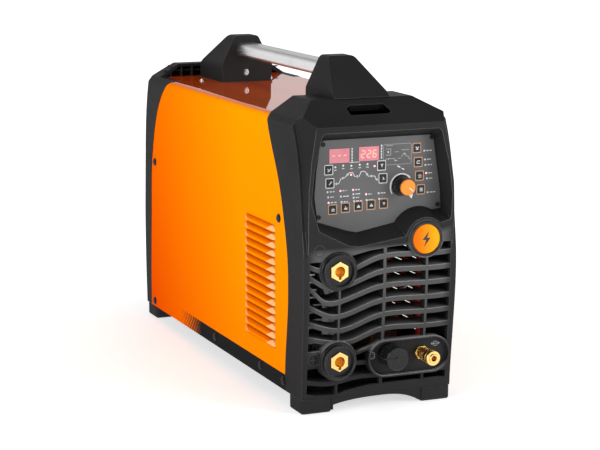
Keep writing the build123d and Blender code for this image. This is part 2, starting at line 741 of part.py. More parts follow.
with BuildPart() as cover_screws:
    side_screw = screw_stack(4.2, 1.3, 5.6, 5.5, 1.5)
    for side in (-1, 1):
        for y, z in SIDE_SCREWS:
            seat = Plane(origin=(side * (COVER_HALF + 0.05), y, z), x_dir=(0, 1, 0), z_dir=(side, 0, 0))
            add(seat * side_screw)
finish(cover_screws, "cover_screws")

with BuildPart() as hood_screws:
    small_screw = screw_stack(3.4, 1.9, 4.2, 9, 1.3)
    for x, y in TOP_SCREWS:
        add(Pos(x, y, COVER_TOP + 0.05) * small_screw)
    bracket_seat = Plane(origin=(0, REAR_BRACKET_Y + 3.2, BRACKET_SCREW_Z), x_dir=(1, 0, 0), z_dir=(0, -1, 0))
    add(bracket_seat.location * small_screw)
finish(hood_screws, "hood_screws")

# ---------------------------------------------------------------- handle


def bracket_form(direction, inner_y):
    """Handle bracket body; direction -1 slopes down to the front, +1 to the rear."""
    outer_y = inner_y + direction * BRACKET_DEPTH
    with BuildPart(mode=Mode.PRIVATE) as bracket:
        with BuildSketch(facing_front(max(inner_y, outer_y))) as section:
            with BuildLine():
                Polyline(
                    (-BRACKET_HALF, COVER_TOP + 0.1), (-BRACKET_HALF, 384), (-17.5, BRACKET_TOP),
                    (17.5, BRACKET_TOP), (BRACKET_HALF, 384), (BRACKET_HALF, COVER_TOP + 0.1), close=True,
                )
            make_face()
            fillet(section.vertices().group_by(Axis.Y)[-1], 7)
            fillet(section.vertices().group_by(Axis.Y)[1], 10)
        extrude(amount=BRACKET_DEPTH)
        with BuildSketch(Plane.YZ) as side:
            with BuildLine():
                Polyline(
                    (inner_y, COVER_TOP), (inner_y + direction * 2.5, BRACKET_TOP),
                    (inner_y + direction * 27, BRACKET_TOP), (outer_y, ROOF_TOP + 1), (outer_y, COVER_TOP),
                    close=True,
                )
            make_face()
        extrude(amount=50, both=True, mode=Mode.INTERSECT)
    return bracket.part


def bar_section(grow):
    """Rounded rectangle of the carrying bar, enlarged by grow."""
    with BuildSketch() as face:
        with Locations((0, BAR_Z)):
            RectangleRounded(BAR_W + 2 * grow, BAR_H + 2 * grow, 4.5 + grow)
    return face.sketch


bar_front = FRONT_BRACKET_Y - BAR_INSERT
bar_back = REAR_BRACKET_Y + BAR_INSERT

with BuildPart() as handle_bracket_front:
    add(bracket_form(-1, FRONT_BRACKET_Y))
    # the bracket steps up on to the front moulding's roof
    with BuildSketch(Plane.YZ):
        with Locations((BEZEL_BACK_Y + 0.3 - 50, ROOF_TOP + 0.1 - 25)):
            Rectangle(100, 50)
    extrude(amount=50, both=True, mode=Mode.SUBTRACT)
    with BuildSketch(facing_front(bar_back)):
        add(bar_section(0.1))
    extrude(amount=bar_back - bar_front + 0.1, mode=Mode.SUBTRACT)
finish(handle_bracket_front, "handle_bracket_front")

with BuildPart() as handle_bracket_rear:
    add(bracket_form(1, REAR_BRACKET_Y))
    with BuildSketch(facing_rear(bar_front)):
        add(bar_section(0.1))
    extrude(amount=bar_back - bar_front + 0.1, mode=Mode.SUBTRACT)
    with BuildSketch(facing_rear(REAR_BRACKET_Y - 2)):
        with Locations((0, BRACKET_SCREW_Z)):
            Circle(4.6)
    extrude(amount=5.25, mode=Mode.SUBTRACT)
    with BuildSketch(facing_rear(REAR_BRACKET_Y - 2)):
        with Locations((0, BRACKET_SCREW_Z)):
            Circle(SCREW_R + 0.05)
    extrude(amount=30, mode=Mode.SUBTRACT)
finish(handle_bracket_rear, "handle_bracket_rear")

with BuildPart() as handle_bar:
    with BuildSketch(facing_front(bar_back)):
        add(bar_section(0))
        with Locations((0, BAR_Z)):
            RectangleRounded(BAR_W - 5, BAR_H - 5, 2.5, mode=Mode.SUBTRACT)
    extrude(amount=bar_back - bar_front)
finish(handle_bar, "handle_bar")

# ---------------------------------------------------------------- control panel
with BuildPart() as control_panel:
    with BuildSketch(facing_front(PANEL_Y + PANEL_SHEET - 0.05)):
        add(pocket_outline(1.0, -1.6))
        with Locations(*BUTTON_PLACES.values()):
            Rectangle(BUTTON_W + 0.3, BUTTON_H + 0.3, mode=Mode.SUBTRACT)
        with Locations(*LENS_PLACES):
            Rectangle(LENS_W + 0.2, LENS_H + 0.2, mode=Mode.SUBTRACT)
        with Locations((KNOB_X, KNOB_Z)):
            Circle(4.6, mode=Mode.SUBTRACT)
        with Locations(*PANEL_SCREWS):
            Circle(1.6, mode=Mode.SUBTRACT)
    extrude(amount=PANEL_SHEET - 0.05)
finish(control_panel, "control_panel")

with BuildPart() as panel_screws:
    for x, z in PANEL_SCREWS:
        seat = Plane(origin=(x, PANEL_Y - 0.05, z), x_dir=(1, 0, 0), z_dir=(0, -1, 0))
        add(seat * panel_screw())
finish(panel_screws, "panel_screws")

with BuildPart() as display_lenses:
    for x, z in LENS_PLACES:
        with BuildSketch(facing_front(PANEL_Y + 2.4)):
            with Locations((x, z)):
                Rectangle(LENS_W, LENS_H)
        extrude(amount=2.7)
finish(display_lenses, "display_lenses")

with BuildPart() as display_modules:
    for x, z in LENS_PLACES:
        with BuildSketch(facing_front(PANEL_Y + 12)):
            with Locations((x, z)):
                Rectangle(LENS_W + 3, LENS_H + 3)
        extrude(amount=9.2)
finish(display_modules, "display_modules")

for name, (x, z) in BUTTON_PLACES.items():
    with BuildPart() as button:
        with BuildSketch(facing_front(PANEL_Y + PANEL_SHEET + 1.2)):
            with Locations((x, z)):
                Rectangle(BUTTON_W + 2, BUTTON_H + 2)
        extrude(amount=1.0)
        with BuildSketch(facing_front(PANEL_Y + PANEL_SHEET + 0.3)):
            with Locations((x, z)):
                RectangleRounded(BUTTON_W, BUTTON_H, 0.8)
        extrude(amount=PANEL_SHEET + 0.3 + BUTTON_PROUD)
        chamfer(button.faces().sort_by(Axis.Y)[0].edges(), 0.3)
    finish(button, name)

# the key switches stand on the board behind the panel, each a separate piece in the board's node
with BuildPart() as panel_board:
    with BuildSketch(facing_front(PANEL_Y + 13.7)):
        with Locations((2, 284)):
            Rectangle(142, 84)
    extrude(amount=1.6)
    for x, z in BUTTON_PLACES.values():
        with BuildSketch(facing_front(PANEL_Y + 12.05)):
            with Locations((x, z)):
                Rectangle(6, 6)
        extrude(amount=5)
        with BuildSketch(facing_front(PANEL_Y + 8)):
            with Locations((x, z)):
                Circle(1.7)
        extrude(amount=3.6)
finish(panel_board, "panel_board")

# ---------------------------------------------------------------- setting knob
knob_axis = Plane(origin=(KNOB_X, PANEL_Y, KNOB_Z), x_dir=(1, 0, 0), z_dir=(0, -1, 0))

with BuildPart() as knob_body:
    with BuildSketch(knob_axis.offset(0.8)):
        Circle(13.2)
    extrude(amount=2.2, taper=30)
    with BuildSketch(knob_axis.offset(2.4)):
        Circle(11.2)
    extrude(amount=15.2, taper=3)
    with BuildSketch(knob_axis.offset(3.2)):
        with PolarLocations(11.6, 18):
            Circle(1.0)
    extrude(amount=20, mode=Mode.SUBTRACT)
    with BuildSketch(knob_axis):
        Circle(3.02)
    extrude(amount=14, mode=Mode.SUBTRACT)
finish(knob_body, "knob_body")

with BuildPart() as knob_cap:
    with BuildSketch(knob_axis.offset(17.65)):
        Circle(9.8)
    extrude(amount=2.9)
    chamfer(knob_cap.faces().sort_by(Axis.Y)[0].edges(), 0.8)
finish(knob_cap, "knob_cap")

with BuildPart() as encoder_shaft:
    with BuildSketch(knob_axis.offset(-9)):
        Circle(3.0)
    extrude(amount=22.8)
finish(encoder_shaft, "encoder_shaft")

with BuildPart() as encoder_body:
    with BuildSketch(knob_axis.offset(-12)):
        Rectangle(13, 13)
    extrude(amount=9.6)
    with BuildSketch(knob_axis.offset(-4)):
        Circle(4.5)
    extrude(amount=4.4)
    with BuildSketch(knob_axis.offset(-9.1)):
        Circle(3.05)
    extrude(amount=20, mode=Mode.SUBTRACT)
finish(encoder_body, "encoder_body")

# ---------------------------------------------------------------- badge
with BuildPart() as badge_ring:
    with BuildSketch(facing_front(-316.05)):
        with Locations((BADGE_X, BADGE_Z)):
            Circle(22.0)
            Circle(18.6, mode=Mode.SUBTRACT)
    extrude(amount=3.0)
    chamfer(badge_ring.faces().sort_by(Axis.Y)[0].edges(), 0.7)
finish(badge_ring, "badge_ring")

with BuildPart() as badge_disc:
    with BuildSketch(facing_front(-316.05)):
        with Locations((BADGE_X, BADGE_Z)):
            Circle(18.3)
    extrude(amount=2.0)
    chamfer(badge_disc.faces().sort_by(Axis.Y)[0].edges(), 0.5)
finish(badge_disc, "badge_disc")

# ---------------------------------------------------------------- weld sockets
SOCKET_NAMES = ("upper", "lower")
for which, (x, z) in zip(SOCKET_NAMES, SOCKET_CENTRES):
    seat = Plane(origin=(x, SOCKET_SEAT_Y - 0.1, z), x_dir=(1, 0, 0), z_dir=(0, -1, 0))
    with BuildPart() as flange:
        with BuildSketch(seat):
            Circle(SOCKET_FLANGE_R)
        extrude(amount=3.2)
        chamfer(flange.faces().sort_by(Axis.Y)[0].edges(), 0.8)
        with BuildSketch(seat.offset(3.2)):
            Circle(21.4)
            Circle(18.0, mode=Mode.SUBTRACT)
        extrude(amount=4.4)
        chamfer(flange.faces().sort_by(Axis.Y)[0].edges(), 0.6)
        with BuildSketch(seat):
            Circle(16.8)
        extrude(amount=-23)
        with BuildSketch(seat.offset(-10)):
            RegularPolygon(HEX_HALF + 0.1, 6, major_radius=False, rotation=30)
        extrude(amount=30, mode=Mode.SUBTRACT)
        with BuildSketch(seat.offset(-24)):
            Circle(TUBE_R + 0.1)
        extrude(amount=24, mode=Mode.SUBTRACT)
    finish(flange, f"socket_flange_{which}")
    with BuildPart() as insert:
        with BuildSketch(seat.offset(-9.9)):
            RegularPolygon(HEX_HALF, 6, major_radius=False, rotation=30)
        extrude(amount=15.4)
        chamfer(insert.faces().sort_by(Axis.Y)[0].edges(), 0.6)
        with BuildSketch(seat.offset(-9.9)):
            Circle(TUBE_R)
        extrude(amount=-34)
        with BuildSketch(seat.offset(5.5)):
            Circle(SOCKET_BORE_R)
        extrude(amount=-SOCKET_BORE_LENGTH, mode=Mode.SUBTRACT)
        with BuildSketch(seat.offset(5.5)):
            with Locations((0, -7)):
                Rectangle(3.6, 5.0)
        extrude(amount=-12, mode=Mode.SUBTRACT)
    finish(insert, f"socket_insert_{which}")

with BuildPart() as socket_nuts:
    for x, z in SOCKET_CENTRES:
        with BuildSketch(facing_front(SOCKET_BOSS_BACK + 7)):
            with Locations((x, z)):
                RegularPolygon(20, 6, major_radius=False)
                Circle(16.9, mode=Mode.SUBTRACT)
        extrude(amount=6.9)
finish(socket_nuts, "socket_nuts")

# ---------------------------------------------------------------- remote control socket and its screw-on cap
remote_seat = Plane(origin=(REMOTE[0], PLATE_FLOOR_Y - 0.05, REMOTE[1]), x_dir=(1, 0, 0), z_dir=(0, -1, 0))

with BuildPart() as remote_socket:
    with BuildSketch(remote_seat):
        Circle(14.0)
    extrude(amount=6.5)
    with BuildSketch(remote_seat.offset(6.5)):
        Circle(12.0)
    extrude(amount=16)
    with BuildSketch(remote_seat.offset(22.5)):
        Circle(10.0)
    extrude(amount=-10, mode=Mode.SUBTRACT)
    with BuildSketch(remote_seat.offset(11)):
        Circle(0.9)
        with PolarLocations(6, 6):
            Circle(0.9)
    extrude(amount=9)
    with BuildSketch(remote_seat):
        Circle(8.2)
    extrude(amount=-16)
finish(remote_socket, "remote_socket")

with BuildPart() as remote_cap:
    with BuildSketch(remote_seat.offset(7.6)):
        Circle(14.6)
    extrude(amount=20.4)
    chamfer(remote_cap.faces().sort_by(Axis.Y)[0].edges(), 1.0)
    with BuildSketch(remote_seat.offset(7.6)):
        Circle(12.06)
    extrude(amount=17.4, mode=Mode.SUBTRACT)
    with BuildSketch(remote_seat.offset(9)):
        with PolarLocations(15.1, 24):
            Circle(0.9)
    extrude(amount=14, mode=Mode.SUBTRACT)
    with BuildSketch(remote_seat.offset(20)):
        Circle(1.55)
    extrude(amount=20, mode=Mode.SUBTRACT)
finish(remote_cap, "remote_cap")

with BuildPart() as cap_swivel:
    with BuildSketch(remote_seat.offset(28.1)):
        Circle(2.6)
    extrude(amount=1.2)
    with BuildSketch(remote_seat.offset(28.1)):
        Circle(1.5)
    extrude(amount=-3.4)
    with BuildSketch(remote_seat.offset(24.85)):
        Circle(2.4)
    extrude(amount=-1.0)
finish(cap_swivel, "cap_swivel")

# ---------------------------------------------------------------- shielding-gas outlet coupling
gas_seat = Plane(origin=(GAS_OUT[0], PLATE_FLOOR_Y - 0.05, GAS_OUT[1]), x_dir=(1, 0, 0), z_dir=(0, -1, 0))
gas_reach = TIP_Y + PLATE_FLOOR_Y - 0.05

with BuildPart() as gas_coupling:
    with BuildSketch(gas_seat):
        RegularPolygon(7.8, 6, major_radius=False)
    extrude(amount=5)
    with BuildSketch(gas_seat.offset(5)):
        Circle(7.4)
    extrude(amount=3)
    with BuildSketch(gas_seat.offset(8)):
        Circle(5.6)
    extrude(amount=gas_reach - 8)
    chamfer(gas_coupling.faces().sort_by(Axis.Y)[0].edges(), 0.5)
    with BuildSketch(gas_seat.offset(gas_reach)):
        Circle(GAS_BORE_R)
    extrude(amount=-GAS_BORE_LENGTH, mode=Mode.SUBTRACT)
    with BuildSketch(gas_seat):
        Circle(6.5)
    extrude(amount=-18)
finish(gas_coupling, "gas_coupling")

with BuildPart() as gas_sleeve:
    with BuildSketch(gas_seat.offset(12)):
        Circle(8.4)
    extrude(amount=25.5)
    with BuildSketch(gas_seat.offset(26.5)):
        Circle(COLLAR_R)
    extrude(amount=11)
    for ring_at in (14.5, 17.5, 20.5, 23.5):
        with BuildSketch(gas_seat.offset(ring_at)):
            Circle(9)
            Circle(7.5, mode=Mode.SUBTRACT)
        extrude(amount=1.2, mode=Mode.SUBTRACT)
    with BuildSketch(gas_seat.offset(31)):
        Circle(COLLAR_R + 1)
        Circle(COLLAR_R - 0.9, mode=Mode.SUBTRACT)
    extrude(amount=2.0, mode=Mode.SUBTRACT)
    chamfer(gas_sleeve.faces().sort_by(Axis.Y)[0].edges(), 0.6)
    with BuildSketch(gas_seat):
        Circle(5.65)
    extrude(amount=60, mode=Mode.SUBTRACT)
finish(gas_sleeve, "gas_sleeve")

# ---------------------------------------------------------------- rear fittings
with BuildPart() as fan_frame:
    with BuildSketch(facing_front(FAN_BACK)):
        with Locations((0, FAN_Z)):
            RectangleRounded(119, 119, 5)
            Circle(57, mode=Mode.SUBTRACT)
    extrude(amount=25)
    with BuildSketch(facing_front(FAN_BACK)):
        with Locations((0, FAN_Z)):
            Circle(19)
    extrude(amount=3)
    with BuildSketch(facing_front(FAN_BACK)):
        with Locations((0, FAN_Z)):
            Rectangle(116, 5)
            Rectangle(5, 116)
            Circle(15, mode=Mode.SUBTRACT)
    extrude(amount=3)
    with BuildSketch(facing_front(FAN_BACK)):
        with Locations((0, FAN_Z)):
            Circle(2.0)
    extrude(amount=22)
finish(fan_frame, "fan_frame")

FAN_BLADES = 7
BLADE_PITCH = 38             # degrees each blade is turned out of the fan's plane


def fan_blade():
    """One flat blade on the rotor's +X side, turned about its own length."""
    with BuildPart(mode=Mode.PRIVATE) as blade:
        with Locations(Location((36, 0, 0), (BLADE_PITCH, 0, 0))):
            Box(37, 22, 1.8)
    return blade.part


with BuildPart() as fan_rotor:
    with BuildSketch(facing_front(FAN_BACK - 3.5)):
        with Locations((0, FAN_Z)):
            Circle(20)
    extrude(amount=20.5)
    root = Plane(origin=(0, FAN_BACK - 13.5, FAN_Z), x_dir=(1, 0, 0), z_dir=(0, -1, 0))
    for number in range(FAN_BLADES):
        add(root.location * Rot(0, 0, 360 / FAN_BLADES * number) * fan_blade())
    with BuildSketch(facing_front(FAN_BACK)):
        with Locations((0, FAN_Z)):
            Circle(2.05)
    extrude(amount=40, mode=Mode.SUBTRACT)
finish(fan_rotor, "fan_rotor")

switch_seat = Plane(origin=(SWITCH[0], 291.05, SWITCH[1]), x_dir=(-1, 0, 0), z_dir=(0, 1, 0))

with BuildPart() as mains_switch:
    with BuildSketch(switch_seat):
        RectangleRounded(56, 56, 4)
    extrude(amount=4)
    with BuildSketch(switch_seat):
        Circle(5.9)
    extrude(amount=-14)
    with BuildSketch(switch_seat.offset(-13.9)):
        RectangleRounded(46, 46, 3)
    extrude(amount=-38)
    with BuildSketch(switch_seat.offset(4)):
        Circle(4.05)
    extrude(amount=-26, mode=Mode.SUBTRACT)
finish(mains_switch, "mains_switch")

with BuildPart() as mains_knob:
    with BuildSketch(switch_seat.offset(4.2)):
        Circle(20)
    extrude(amount=5)
    with BuildSketch(switch_seat.offset(9.2)):
        RectangleRounded(12, 37, 5)
    extrude(amount=13, taper=3)
    with BuildSketch(switch_seat.offset(4.2)):
        Circle(4.0)
    extrude(amount=-24)
finish(mains_knob, "mains_knob")

gland_seat = Plane(origin=(GLAND[0], 291.05, GLAND[1]), x_dir=(-1, 0, 0), z_dir=(0, 1, 0))

with BuildPart() as cable_gland:
    with BuildSketch(gland_seat):
        RegularPolygon(14, 6, major_radius=False)
    extrude(amount=7)
    with BuildSketch(gland_seat):
        Circle(10.0)
    extrude(amount=-16)
    with BuildSketch(gland_seat.offset(7)):
        Circle(12.5)
    extrude(amount=6)
    with BuildSketch(gland_seat.offset(-16)):
        Circle(CABLE_R + 0.1)
    extrude(amount=40, mode=Mode.SUBTRACT)
finish(cable_gland, "cable_gland")

with BuildPart() as gland_cap:
    with BuildSketch(gland_seat.offset(13.1)):
        RegularPolygon(13.4, 6, major_radius=False)
    extrude(amount=9)
    with BuildSketch(gland_seat.offset(22.1)):
        Circle(12.6)
    extrude(amount=6, taper=25)
    with BuildSketch(gland_seat):
        Circle(CABLE_R + 0.1)
    extrude(amount=60, mode=Mode.SUBTRACT)
finish(gland_cap, "gland_cap")

with BuildPart() as mains_cable:
    with BuildSketch(gland_seat.offset(-40)):
        Circle(CABLE_R)
    extrude(amount=40 + TIP_Y - 291.05)
finish(mains_cable, "mains_cable")

gas_in_seat = Plane(origin=(GAS_IN[0], 291.05, GAS_IN[1]), x_dir=(-1, 0, 0), z_dir=(0, 1, 0))

with BuildPart() as gas_inlet:
    with BuildSketch(gas_in_seat):
        RegularPolygon(9.5, 6, major_radius=False)
    extrude(amount=7)
    with BuildSketch(gas_in_seat.offset(7)):
        Circle(GAS_IN_R)
    extrude(amount=GAS_IN_LENGTH)
    with BuildSketch(gas_in_seat):
        Circle(6.6)
    extrude(amount=-16)
    with BuildSketch(gas_in_seat.offset(-16)):
        Circle(2.5)
    extrude(amount=60, mode=Mode.SUBTRACT)
finish(gas_inlet, "gas_inlet")

# ---------------------------------------------------------------- inside the case
with BuildPart() as heat_sink:
    with BuildSketch(facing_front(60)):
        with Locations((-6.5, 120)):
            Rectangle(10, 150)
        with Locations(*[(-37, 50 + 10 * fin) for fin in range(15)]):
            Rectangle(52, 2.2)
    extrude(amount=220)
finish(heat_sink, "heat_sink")

with BuildPart() as output_transformer:
    with Locations((-50, 155, 68)):
        Box(70, 66, 84)
    fillet(output_transformer.edges().filter_by(Axis.Z), 6)
    with Locations((-50, 155, 68)):
        Box(84, 30, 60)
finish(output_transformer, "output_transformer")

with BuildPart() as output_choke:
    with BuildSketch(Plane(origin=(42, -150, 66), x_dir=(0, 1, 0), z_dir=(1, 0, 0))):
        Circle(44)
        Circle(18, mode=Mode.SUBTRACT)
    extrude(amount=40)
    fillet(output_choke.edges(), 5)
finish(output_choke, "output_choke")

# board and its four spacers on the centre plate
with BuildPart() as power_board:
    with BuildSketch(Plane.YZ.offset(14)):
        with Locations((40, 190)):
            Rectangle(290, 250)
    extrude(amount=2)
    with BuildSketch(Plane.YZ.offset(1.05)):
        with Locations((-90, 80), (-90, 300), (170, 80), (170, 300)):
            RegularPolygon(4, 6)
    extrude(amount=12.9)
finish(power_board, "power_board")

with BuildPart() as capacitors:
    with BuildSketch(Plane.YZ.offset(16.05)):
        with Locations((40, 190)):
            with GridLocations(40, 42, 3, 2):
                Circle(17.5)
    extrude(amount=62)
finish(capacitors, "capacitors")

with BuildPart() as ignition_unit:
    with Locations((-40, -60, 262)):
        Box(66, 90, 70)
    with Locations((-40, -60, 302)):
        Cylinder(22, 12)
finish(ignition_unit, "ignition_unit")

with BuildPart() as gas_valve:
    with Locations((72, 236, 262)):
        Box(26, 34, 30)
    with Locations((72, 236, 289)):
        Cylinder(12, 24.5)
finish(gas_valve, "gas_valve")
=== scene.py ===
import json
import math

import bmesh
import bpy
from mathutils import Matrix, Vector
from mathutils.bvhtree import BVHTree


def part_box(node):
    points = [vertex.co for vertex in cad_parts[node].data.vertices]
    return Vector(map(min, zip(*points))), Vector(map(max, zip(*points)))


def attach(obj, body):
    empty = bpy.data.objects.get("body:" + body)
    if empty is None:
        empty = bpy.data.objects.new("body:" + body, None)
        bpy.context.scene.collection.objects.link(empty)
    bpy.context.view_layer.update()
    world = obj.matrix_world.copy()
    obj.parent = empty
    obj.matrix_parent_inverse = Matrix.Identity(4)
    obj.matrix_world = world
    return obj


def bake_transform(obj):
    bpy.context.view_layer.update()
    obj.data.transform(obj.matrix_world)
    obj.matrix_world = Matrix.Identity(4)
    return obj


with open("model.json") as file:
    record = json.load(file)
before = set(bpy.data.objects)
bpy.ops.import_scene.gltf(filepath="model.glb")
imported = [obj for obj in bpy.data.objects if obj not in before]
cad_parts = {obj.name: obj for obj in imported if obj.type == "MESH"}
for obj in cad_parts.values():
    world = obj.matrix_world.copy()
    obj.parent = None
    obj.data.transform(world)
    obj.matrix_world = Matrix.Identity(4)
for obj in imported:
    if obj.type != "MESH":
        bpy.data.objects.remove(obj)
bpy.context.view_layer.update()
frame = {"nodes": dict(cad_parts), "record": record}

# Looks of the inverter TIG machine. Metres, the CAD frame: -Y is the front, +X the right, +Z up.

MM = 0.001

NODES = frame["nodes"]
CASE = "case"

# ------------------------------------------------------------------ camera and light
CAMERA_AZIMUTH = 22.7       # degrees the view turns towards +X from straight at the front
CAMERA_FALL = 10.5          # degrees the view looks down
CAMERA_PLACE = Vector((-0.9567, -2.3458, 0.6456))
CAMERA_LENS = 113.3
CAMERA_SENSOR = 36.0



def centre(name):
    """The middle of a CAD node seen from the front, in mm: across and up."""
    low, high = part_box(name)
    return (low.x + high.x) / 2 / MM, (low.z + high.z) / 2 / MM


# ------------------------------------------------------------------ material graphs
class Graph:
    """A material's node tree with short calls for the nodes used here."""

    def __init__(self, name):
        self.material = bpy.data.materials.new(name)
        self.material.use_nodes = True
        self.tree = self.material.node_tree
        self.tree.nodes.clear()
        self.output = self.add("ShaderNodeOutputMaterial")
        self.shader = self.add("ShaderNodeBsdfPrincipled")
        self.link(self.shader.outputs[0], self.output.inputs[0])
        self.coords = self.add("ShaderNodeTexCoord").outputs["Object"]

    def add(self, kind, **values):
        node = self.tree.nodes.new(kind)
        for key, value in values.items():
            setattr(node, key, value)
        return node

    def link(self, source, target):
        self.tree.links.new(source, target)

    def put(self, socket, value):
        """Joins a socket or sets its number or colour."""
        if isinstance(value, bpy.types.NodeSocket):
            self.link(value, socket)
        elif hasattr(value, "__len__") and len(value) == 3 and socket.type == "RGBA":
            socket.default_value = (*value, 1.0)
        else:
            socket.default_value = value

    def math(self, operation, a, b=0.0):
        node = self.add("ShaderNodeMath", operation=operation)
        self.put(node.inputs[0], a)
        self.put(node.inputs[1], b)
        return node.outputs[0]

    def product(self, *masks):
        """Several masks as one: 1 only where all of them are 1."""
        total = masks[0]
        for mask in masks[1:]:
            total = self.math("MULTIPLY", total, mask)
        return total

    def within(self, value, low, high):
        """1 between two limits, 0 outside them."""
        return self.product(self.math("GREATER_THAN", value, low), self.math("LESS_THAN", value, high))

    def stretched(self, scale):
        node = self.add("ShaderNodeMapping")
        self.link(self.coords, node.inputs["Vector"])
        node.inputs["Scale"].default_value = scale
        return node.outputs[0]

    def noise(self, scale, detail=3.0, rough=0.5, vector=None):
        node = self.add("ShaderNodeTexNoise")
        self.link(vector or self.coords, node.inputs["Vector"])
        node.inputs["Scale"].default_value = scale
        node.inputs["Detail"].default_value = detail
        node.inputs["Roughness"].default_value = rough
        return node.outputs["Fac"]

    def ramp(self, value, low, high, out_low=0.0, out_high=1.0):
        node = self.add("ShaderNodeMapRange")
        self.put(node.inputs["Value"], value)
        node.inputs["From Min"].default_value = low
        node.inputs["From Max"].default_value = high
        node.inputs["To Min"].default_value = out_low
        node.inputs["To Max"].default_value = out_high
        return node.outputs[0]

    def mix(self, factor, a, b):
        node = self.add("ShaderNodeMix", data_type="RGBA")
        self.put(node.inputs[0], factor)
        self.put(node.inputs[6], a)
        self.put(node.inputs[7], b)
        return node.outputs[2]

    def axes(self):
        """The three parts of the place in the CAD frame."""
        node = self.add("ShaderNodeSeparateXYZ")
        self.link(self.coords, node.inputs[0])
        return node.outputs[0], node.outputs[1], node.outputs[2]

    def facing(self):
        """The three parts of the mesh's own normal."""
        geometry = self.add("ShaderNodeNewGeometry")
        node = self.add("ShaderNodeSeparateXYZ")
        self.link(geometry.outputs["True Normal"], node.inputs[0])
        return node.outputs[0], node.outputs[1], node.outputs[2]

    def rounded_normal(self, radius):
        node = self.add("ShaderNodeBevel", samples=4)
        node.inputs["Radius"].default_value = radius
        return node.outputs[0]

    def edge_mask(self, radius):
        """1 on sharp outer and inner edges, 0 on flat faces."""
        wide = self.add("ShaderNodeBevel", samples=4)
        wide.inputs["Radius"].default_value = radius
        geometry = self.add("ShaderNodeNewGeometry")
        dot = self.add("ShaderNodeVectorMath", operation="DOT_PRODUCT")
        self.link(wide.outputs[0], dot.inputs[0])
        self.link(geometry.outputs["Normal"], dot.inputs[1])
        return self.ramp(dot.outputs["Value"], 0.97, 0.72)

    def bump(self, height, strength, distance, normal=None):
        node = self.add("ShaderNodeBump")
        node.inputs["Strength"].default_value = strength
        node.inputs["Distance"].default_value = distance
        self.link(height, node.inputs["Height"])
        if normal is not None:
            self.link(normal, node.inputs["Normal"])
        return node.outputs[0]

    def set(self, **values):
        names = {
            "colour": "Base Color", "metallic": "Metallic", "roughness": "Roughness", "normal": "Normal",
            "coat": "Coat Weight", "coat_roughness": "Coat Roughness", "specular": "Specular IOR Level",
            "emission": "Emission Color", "glow": "Emission Strength",
        }
        for key, value in values.items():
            self.put(self.shader.inputs[names[key]], value)


def shade(colour, factor):
    """A colour made lighter or darker."""
    return tuple(min(1.0, channel * factor) for channel in colour)


# ------------------------------------------------------------------ materials
def moulded_plastic(
    name, colour, rough, grain, grain_strength, radius, edge_rub_and_highlight, specular=0.25, side_share=1.0, grille=False,
):
    """Spark-textured moulding: fine grain, faint flow marks, patches of dust, and rubbed edges lit further by
    a painted highlight.

    grain is the texture's scale, radius the shaded edge rounding in mm, and the sixth argument how much
    lighter the edges are, rubbed edges plus a painted highlight. side_share scales the shine of faces that
    look sideways.
    """
    g = Graph(name)
    flow = g.noise(9.0, 4.0, 0.55)
    grain_height = g.noise(grain, 2.0, 0.6)
    dust = g.noise(70.0, 6.0, 0.7)
    edges = g.edge_mask(radius * 1.8 * MM)
    rubbed_lit_edges = g.math("MULTIPLY", edges, g.ramp(g.noise(160.0, 3.0), 0.22, 0.5))
    base = g.mix(g.ramp(flow, 0.3, 0.7), shade(colour, 0.88), shade(colour, 1.14))
    dust_and_light = g.mix(g.ramp(dust, 0.55, 0.85, 0.0, 0.16), base, shade(colour, 2.2))
    if grille:
        dust_and_light, rubbed_lit_edges = grille_painted_light(g, dust_and_light, rubbed_lit_edges)
    # lighter edges: rubbed edges plus a painted highlight; on the front moulding the colour also carries
    # painted light
    g.set(colour=g.mix(rubbed_lit_edges, dust_and_light, shade(colour, edge_rub_and_highlight)))
    spread = g.ramp(dust, 0.25, 0.75, rough - 0.06, rough + 0.09)
    # a matt moulding loses its grazing shine on the long sides
    sideways = g.math("ABSOLUTE", g.facing()[0])
    share = g.ramp(sideways, 0.6, 0.95, specular, specular * side_share)
    g.set(roughness=g.math("SUBTRACT", spread, g.math("MULTIPLY", edges, 0.08)), specular=share)
    g.set(normal=g.bump(grain_height, grain_strength, 0.08 * MM, g.rounded_normal(radius * MM)))
    return g.material


